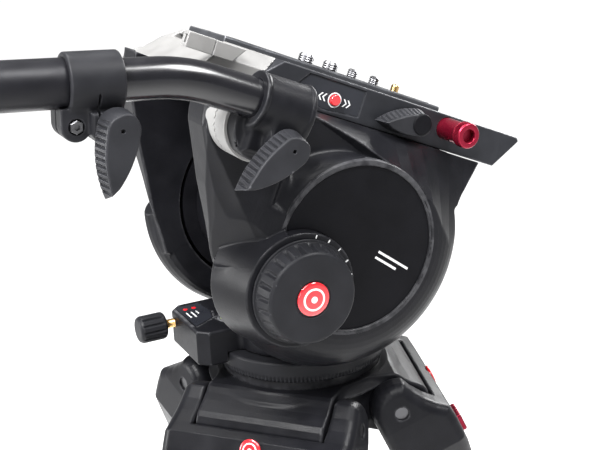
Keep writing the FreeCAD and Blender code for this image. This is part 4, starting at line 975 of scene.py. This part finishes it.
def add_dials():
    place = shifted(TILTED, BALANCE[0], 0, BALANCE[1], X_DIR, -Y_DIR)
    shape = [(5, 73), (5, 85), (28.6, 85), (29, 85.4), (29, 86.1), (28.6, 86.5), (27.5, 86.6),
             (27.4, 87.4), (25.7, 96.4), (25.2, 97.6), (24.4, 98.5), (23.6, 98.8), (10.4, 98.8),
             (10.2, 98.2), (0.3, 98.2)]
    dial = turned("counterbalance_knob_fluted", place, shape, 0.5, 1.3, 480,
                  flutes(24, 1.3, 88.4, 96.2, 1.2, 1.2))
    finished(dial, "counterbalance_knob", KNOB, ["counterbalance_knob"])
    add_badge("counterbalance_badge", shifted(place, 0, 0, 98.0), "counterbalance_knob", 9.2)
    for tick in range(TICKS):
        turn = math.radians(TICK_START + TICK_STEP * tick)
        along, across = (math.cos(turn), math.sin(turn)), (-math.sin(turn), math.cos(turn))
        corners = [(along[0] * out + across[0] * side, along[1] * out + across[1] * side)
                   for out, side in ((29.4, -0.35), (31.2, -0.35), (31.2, 0.35), (29.4, 0.35))]
        add_mark(f"counterbalance_tick_{tick + 1}", place, "tilt", corners, 84.3, 84.6)
    place = shifted(TILTED, 0, 0, 0, X_DIR, Y_DIR)
    shape = [(6, 70.5), (6, 78.5), (30.6, 78.5), (31, 78.9), (31, 83.5), (28.4, 91), (27.6, 92.4),
             (26.4, 93), (15, 93), (13.5, 91.8), (0.3, 91.8)]
    drag = turned("tilt_drag_knob_fluted", place, shape, 0.5, 1.5, 480,
                  flutes(24, 1.4, 84.4, 91, 1.4, 1.3))
    finished(drag, "tilt_drag_knob", KNOB, ["tilt_drag_knob"])


CLAMP_LEVER = (9.4, 33, 10, 4, 10)


def add_side_levers():
    near_plate = shifted(TILTED, 31, -44, 75, swung(192), -Y_DIR)
    add_lever("plate_lock_lever", near_plate, "plate_lock_lever", 8, 26.5, 10, 4, 8)
    cap = lathed("plate_lock_lever_cap", near_plate,
                 eased([(6.2, 9), (6.2, 10.4), (5.4, 10.9), (0.3, 10.9)], 0.3), 64)
    finished(cap, "plate_lock_lever", COVER)
    add_lever("tilt_lock_lever", shifted(TILTED, -60, 76.5, -8, swung(-60), Y_DIR),
              "tilt_lock_lever", 8.5, 43.5, 8.5, 4, 17)
    add_lever("bar_clamp_lever", shifted(TILTED, -80, -111.3, 45, swung(233), -Y_DIR),
              "bar_clamp_lever", *CLAMP_LEVER)
    add_lever("bar_lock_lever", shifted(BAR, -19, -12.9, 22, swung(169), -Y_DIR),
              "bar_lock_lever", *CLAMP_LEVER)


# ---------------------------------------------------------------- deck and camera plate

DECK_HALF = 42
DECK_TOP = 85
CHANNEL_Z = 79
CHANNEL_HALF = 28
DECK_SIDE = [(-112, 64), (98, 64), (111, 83), (109, DECK_TOP), (-91, DECK_TOP)]
PANEL = [(-50, 73), (-42, 83), (-4, 83), (-4, 67.5), (-28, 66)]
STOP_OUT = 47


def deck_field(part):
    """The head's top: a channel for the plate, and on its near side a bevel and a sunk panel."""
    def field(x, y, z):
        side = outline(x, z, DECK_SIDE)
        deck = prism(side, within(y, DECK_HALF), 1.0)
        bevel = (np.abs(y) - 31) * 0.6 - (DECK_TOP - z) * 0.8
        deck = meet(deck, bevel, 0.6) if part == "rear" else deck
        channel = meet(prism(within(y, CHANNEL_HALF), CHANNEL_Z - z), x - 60)
        deck = carve(deck, channel, 0.5)
        undercut = meet(between(z, CHANNEL_Z, 81.6), meet(within(y, 30.4), x - 60))
        deck = carve(deck, undercut, 0.3)
        panel = prism(outline(x, z, PANEL), y + DECK_HALF - 0.7)
        deck = carve(deck, panel, 0.4)
        groove = prism(between(x, 62, 62.8), within(y, CHANNEL_HALF))
        deck = carve(deck, prism(groove, 84.2 - z), 0.2)
        for spot, radius, end in (((56, 77), 6.55, -28), ((-22, 73), 3.25, -36),
                                  ((31, 75), 4.05, -35)):
            deck = carve(deck, prism(disc(x, z, radius, spot), y - end), 0.4)
        seam = (x + 76) * 0.66 - (z - 70) * 0.75
        return meet(deck, seam + 0.1 if part == "rear" else 0.1 - seam, 0.4)
    return field


def stop_field(x, y, z):
    """The plate's stop on the rear of the near side: a block and its tapered tongue."""
    block = box(x, y, z, (-119, -STOP_OUT, 76), (-103.4, -40, 84.5), 0.5)
    tongue = prism(outline(x, z, [(-103, 76), (-91, 76), (-85, 84.3), (-103, 84.3)]),
                   between(y, -STOP_OUT, -40), 0.4)
    slot = box(x, y, z, (-121, -45.5, 78), (-116, -42.5, 82.5), 0.2)
    return carve(join(block, tongue), slot, 0.2)


def add_deck():
    for part, finish, start, end in (("front", DECK, -80, 114), ("rear", SILVER, -115, -55)):
        deck = moulded(f"deck_machined_{part}", deck_field(part), (start, -44, 62), (end, 44, 87),
                       0.7, TILTED)
        finished(deck, "tilt", finish, ["deck"])
    stop = moulded("deck_plate_stop", stop_field, (-121, -49, 74), (-83, -38, 86), 0.45, TILTED)
    finished(stop, "tilt", SILVER, ["deck"])
    side = shifted(TILTED, 0, -DECK_HALF + 0.7, 0, X_DIR, -Y_DIR)
    panel_corners = [(-48.6, 73), (-41.3, 82.2), (-4.8, 82.2), (-4.8, 68.2), (-27.8, 66.8)]
    panel = slab("deck_panel", side, panel_corners[::-1], -0.2, 0.2)
    finished(panel, "tilt", LABEL)
    button = shifted(TILTED, -22, 0, 73, X_DIR, -Y_DIR)
    ring = lathed("deck_panel_ring", button, hoop(3.6, 4.3, 41.2, 41.6), 48)
    finished(ring, "tilt", MARK)
    for way in (-1, 1):
        for step in (0, 1):
            tip = way * (8.2 + 2.6 * step)
            corners = [(tip, 0), (tip - way * 1.8, 2.2), (tip - way * 2.7, 2.2),
                       (tip - way * 0.9, 0), (tip - way * 2.7, -2.2), (tip - way * 1.8, -2.2)]
            add_mark(f"deck_panel_chevron_{way + 2}_{step + 1}", button, "tilt",
                     corners if way > 0 else corners[::-1], 41.3, 41.58)
    cap = lathed("journal_button_cap", button, eased([(3.2, 38), (3.2, 43), (2.7, 43.5),
                                                     (0.3, 43.5)], 0.3), 48)
    finished(cap, "journal_button", RED_GLOSS, ["journal_button"])
    release = shifted(TILTED, 56, 0, 77, X_DIR, -Y_DIR)
    shape = [(6.5, 34), (6.5, 57.6), (7.5, 60), (7.5, 65), (6.7, 66), (4.3, 66), (4, 65.6),
             (4, 62), (0.3, 62)]
    knob = turned("release_button_turned", release, shape, 0.35, 0.8, 240,
                  teeth(60, 0.35, 60.4, 64.6))
    finished(knob, "release_button", RED_METAL, ["release_button"])


def box_piece(name, place, low, high, edge):
    def field(x, y, z):
        return box(x, y, z, low, high, edge)
    reach = [side - 1 for side in low], [side + 1 for side in high]
    return moulded(name, field, reach[0], reach[1], 0.45, place)


def plate_field(x, y, z):
    """The sliding camera plate: bevelled long edges and its two screw slots."""
    body = outline(y, z, [(-27.9, 79.1), (27.9, 79.1), (27.9, 81), (26.2, 83), (26.2, 87.2),
                          (25.4, 88), (-25.4, 88), (-26.2, 87.2), (-26.2, 83), (-27.9, 81)])
    plate = prism(between(x, -90, 58), body, 0.5)
    under = prism(prism(between(x, -40, 36), within(y, 8.2), 8.1), z - 84.1)
    plate = carve(plate, under, 0.3)
    for low, high, radius in ((-35, 1, 4.96), (2.5, 31, 3.375)):
        slot = prism(between(x, low, high), within(y, radius), 0)
        plate = carve(plate, slot, 0.4)
    plate = carve(plate, prism(disc(x, y, 3.5, (40, 0)), 85 - z), 0.3)
    for strip in (-17.5, 17.5):
        pad = prism(prism(between(x, -84, 52), between(y, strip - 5.6, strip + 5.6), 2), 87.2 - z)
        plate = carve(plate, pad, 0.2)
    return plate


def add_plate():
    plate = moulded("camera_plate_machined", plate_field, (-92, -30, 77.5), (60, 30, 89.5), 0.6,
                    TILTED)
    finished(plate, "camera_plate", PLATE, ["camera_plate"])
    for number, strip in enumerate((-17.5, 17.5), 1):
        pad = box_piece(f"camera_plate_pad_{number}", TILTED, (-83.8, strip - 5.4, 87.0),
                        (51.8, strip + 5.4, 88.3), 0.5)
        finished(pad, "camera_plate", RUBBER)
    screws = ((-25, 4.7625, 1.27), (-8, 4.7625, 1.27), (8, 3.175, 1.1), (24, 3.175, 1.1))
    for number, (spot, radius, pitch) in enumerate(screws, 1):
        head = [(7, 80.5), (7, 83.7), (6.7, 84), (radius - 0.6, 84)]
        rod = threaded(radius, 87.2, 93.5, pitch, 0.55)
        screw = lathed(f"camera_screw_{number}_threaded", shifted(TILTED, spot, 0, 0), head + rod,
                       64, sharp=50)
        finished(screw, "camera_plate", STEEL, ["camera_screws"])
    pin = lathed("locating_pin_turned", shifted(TILTED, 40, 0, 88),
                 eased([(3.5, -3), (3.5, 0), (2.5, 0), (2.5, 4), (1.6, 5), (0.3, 5)], 0.4), 48)
    finished(pin, "camera_plate", BRASS, ["locating_pin"])


# ---------------------------------------------------------------- pan bar

BAR_Z = 63
BEND_R = 90
SCREW = (-18.5, 39)
SCREW_OUT = 7.6


def clamp_field(x, y, z):
    """The rosette clamp: a drum on the teeth, an arm, and a split barrel round the bar."""
    out = -y
    barrel = np.hypot(out - 100, z - BAR_Z)
    tube = prism(barrel - 13.6, between(x, -99, -71), 0.8)
    for low, high in ((-99, -96.8), (-73.2, -71)):
        tube = join(tube, prism(barrel - 14.1, between(x, low, high), 0.6), 0.6)
    drum = prism(disc(x, z, 16.8, ROSETTE), between(out, 88, 101), 1.2)
    web = prism(outline(x, z, [(-97, 38), (-79, 38), (-77, 57), (-97, 57)]),
                between(out, 92, 104), 2.0)
    lug = prism(outline(x, z, arc((-80, 45), 9, 180, 360, 12) + [(-71, 62), (-89, 62)]),
                between(out, 89.2, 110.8), 1.4)
    clamp = join(join(tube, drum, 3.0), join(web, lug, 4.0), 5.0)
    clamp = carve(clamp, barrel - 10.02, 0.3)
    split = meet(between(x, -101, -69), meet(between(out, 99.3, 100.7), z - BAR_Z + 8), 0.1)
    clamp = carve(clamp, meet(split, 38 - z), 0.2)
    bolt = prism(disc(x, z, 4.05, (-80, 45)), 91.2 - out)
    return carve(clamp, bolt, 0.3)


def flange_field(x, y, z):
    """The clamp's half of the rosette, its teeth set between those of the cheek's half."""
    reach = np.hypot(x, y)
    face = toothed_face(x, y, reach) + TOOTH_GAP
    flange = np.maximum(prism(reach - ROSETTE_R, z - 17, 0.3), (face - z) * 0.7)
    return carve(flange, reach - 2.5)


def lock_bar_field(x, y, z):
    """The collar that clamps the two bar tubes, with a lug for its lever and a split one."""
    reach = np.hypot(x, y)
    collar = prism(reach - 14, between(z, 16.5, 42), 1.2)
    lug = prism(outline(x, z, [(-26, 17), (-26, 30), (-22, 33), (-12, 33), (-12, 17)]),
                between(y, -12.4, 10), 2.0)
    split_lug = join(disc(x, z, 7, SCREW), prism(between(x, -18, -10), between(z, 32, 46)))
    split_lug = prism(split_lug, within(y, 9), 1.0)
    split_lug = carve(split_lug, prism(within(y, 1), z - 60), 0.3)
    screw = prism(disc(x, z, 3.6, SCREW), y + SCREW_OUT)
    split_lug = carve(split_lug, screw, 0.3)
    lock = join(join(collar, lug, 2.5), split_lug, 1.5)
    bore = outline(reach, z, [(0, 0), (10.05, 0), (10.05, 24), (11.5, 24), (11.5, 60), (0, 60)])
    lock = carve(lock, bore)
    split = meet(within(y, 0.6), meet(x + 9, 12 - z), 0.1)
    lock = carve(lock, split, 0.2)
    slot = prism(prism(between(x, -20, -3), between(z, 28.5, 29.5), 1.4), y + 9)
    lock = carve(lock, slot, 0.2)
    return carve(lock, prism(disc(x, z, 4.05, LOCK_PIVOT), y), 0.3)


def grip_rings(height, angle):
    return 0.5 * np.maximum(np.cos(2 * math.pi * height / 4), 0) * window(height, 214, 300, 2)


def add_bar():
    clamp = moulded("bar_clamp_casting", clamp_field, (-114, -117, 20), (-68, -78, 80), 0.62,
                    TILTED)
    finished(clamp, "pan_bar", CAST, ["bar_clamp"])
    flange = moulded("bar_clamp_flange_toothed", flange_field, (-20, -20, 3), (20, 20, 18), 0.4,
                     shifted(TILTED, ROSETTE[0], -75, ROSETTE[1], X_DIR, -Y_DIR))
    finished(flange, "pan_bar", TOOTHED, ["bar_clamp"])
    turns = np.radians(np.linspace(0, 19, 20))
    bend = [(-122 - BEND_R * math.sin(turn), BAR_Z - BEND_R * (1 - math.cos(turn)))
            for turn in turns]
    end_x, end_z = bend[-1]
    run = (-math.cos(turns[-1]), -math.sin(turns[-1]))
    rear = [(end_x + run[0] * far, end_z + run[1] * far) for far in (5, 12, 60, 140, 213.5, 215)]
    front = [(-73, BAR_Z), (-74, BAR_Z), (-100, BAR_Z), (-118, BAR_Z)]
    path = [(x, BAR_AXIS_Y, z) for x, z in front + bend + rear]
    tube = swept("inner_bar_smooth", TILTED, path, 10, 72)
    finished(tube, "pan_bar", GLOSS, ["inner_bar"])
    lock = moulded("bar_lock_collar", lock_bar_field, (-28, -17, 11), (18, 17, 49), 0.6, BAR)
    finished(lock, "bar_sleeve", KNOB, ["bar_lock"])
    screw = lathed("bar_lock_screw", shifted(BAR, SCREW[0], -SCREW_OUT, SCREW[1], X_DIR, -Y_DIR),
                   [(3.3, 0), (3.3, 1.8), (2.9, 2.2), (1.5, 2.2), (1.5, 0.8), (0.2, 0.8)], 6)
    finished(screw, "bar_sleeve", DARK_STEEL)
    sleeve = lathed("outer_bar_smooth", BAR, [(10.05, 24), (11.4, 24), (11.5, 24.2), (11.5, 304),
                                              (10.05, 304), (10.05, 24)], 72)
    finished(sleeve, "bar_sleeve", MATT, ["outer_bar"])
    grip = [(11.5, 205), (13, 205), (15, 209), (15, 305), (13.4, 308.6), (10, 310), (0.3, 310)]
    piece = turned("bar_grip_ribbed", BAR, grip, 0.8, 1.0, 96, grip_rings)
    finished(piece, "bar_sleeve", RUBBER, ["bar_grip"])


# ---------------------------------------------------------------- everything

KEPT = {
    "half_ball": CAST, "clamp_cup": KNOB, "leg_hinge_pins": DARK_STEEL, "tilt_core": ALLOY,
    "tilt_axle": STEEL, "spring_cartridge": ALLOY, "drag_cartridge": ALLOY,
    "near_cover": COVER, "far_cover": COVER,
}

add_crown()
for leg in LEGS:
    add_leg(leg)
add_ball()
add_drag_ring()
add_pan()
add_cheeks()
add_dials()
add_side_levers()
add_deck()
add_plate()
add_bar()
for node, finish in KEPT.items():
    for slot in frame["nodes"][node].material_slots:
        slot.material = finish


# ---------------------------------------------------------------- studio

def pale_floor():
    material = bpy.data.materials.new("studio_floor")
    made = Finish(material)
    share = made.ramp(made.noise(700, 2.0), 0.3, 0.7, 0, 1)
    made.link(made.mixed(share, (0.86, 0.86, 0.86), (0.9, 0.9, 0.9)), made.shader["Base Color"])
    made.shader["Roughness"].default_value = 0.75
    return material


def add_lamp(name, spot, power):
    """A square lamp at a place in metres from the tilt axis, aimed at it."""
    lamp = bpy.data.lights.new(name, "AREA")
    lamp.shape = "SQUARE"
    lamp.size = LAMP_SIDE
    lamp.energy = power
    holder = linked(name, lamp)
    holder.location = TARGET + Vector(spot)
    holder.rotation_euler = Vector(spot).to_track_quat("Z", "Y").to_euler()


FLOOR_SIDE = 40
LAMP_SIDE = 0.4
TARGET = pivot("tilt")
LAMPS = {
    "key": ((-0.85, -0.35, 1.05), 42), "front": ((0.5, -0.45, 0.95), 20),
    "fill": ((-0.75, -0.95, 0.15), 4), "rim": ((0.95, 0.55, 0.35), 11),
    "top": ((-0.1, 0.35, 1.15), 16), "left": ((-1.0, 0.35, 0.1), 12),
}
SUN_POWER = 3.7
SUN_ANGLE = 35
SUN_TURN = (28, -22, 0)
WORLD_POWER = 0.3

floor_mesh = bpy.data.meshes.new("studio_floor")
floor_mesh.from_pydata([(-FLOOR_SIDE, -FLOOR_SIDE, 0), (FLOOR_SIDE, -FLOOR_SIDE, 0),
                        (FLOOR_SIDE, FLOOR_SIDE, 0), (-FLOOR_SIDE, FLOOR_SIDE, 0)], [],
                       [(0, 1, 2, 3)])
floor_mesh.materials.append(pale_floor())
linked("studio_floor", floor_mesh)

world = bpy.data.worlds.new("studio")
world.use_nodes = True
background = world.node_tree.nodes["Background"].inputs
background["Color"].default_value = (1, 1, 1, 1)
background["Strength"].default_value = WORLD_POWER
bpy.context.scene.world = world
bpy.context.scene.view_settings.view_transform = "Standard"

for name, (spot, power) in LAMPS.items():
    add_lamp(name, spot, power)
daylight = bpy.data.lights.new("daylight", "SUN")
daylight.energy = SUN_POWER
daylight.angle = math.radians(SUN_ANGLE)
linked("daylight", daylight).rotation_euler = [math.radians(turn) for turn in SUN_TURN]

AZIMUTH = -25.55
ELEVATION = 17.4
ROLL = 2.77
DISTANCE = 0.697
LENS = 69.1
SHIFT_RIGHT = 0.0092
SHIFT_UP = -0.0186

azimuth, elevation = math.radians(AZIMUTH), math.radians(ELEVATION)
back = Vector((math.sin(azimuth) * math.cos(elevation), -math.cos(azimuth) * math.cos(elevation),
               math.sin(elevation)))
right = Vector((math.cos(azimuth), math.sin(azimuth), 0))
axes = Matrix((right, back.cross(right), back)).transposed()
axes = axes @ Matrix.Rotation(-math.radians(ROLL), 3, "Z")
lens = bpy.data.cameras.new("camera")
lens.lens = LENS
lens.shift_x = SHIFT_RIGHT
lens.shift_y = SHIFT_UP
lens.clip_start = 0.02
camera = linked("camera", lens)
camera.matrix_world = Matrix.Translation(TARGET + back * DISTANCE) @ axes.to_4x4()
bpy.context.scene.camera = camera
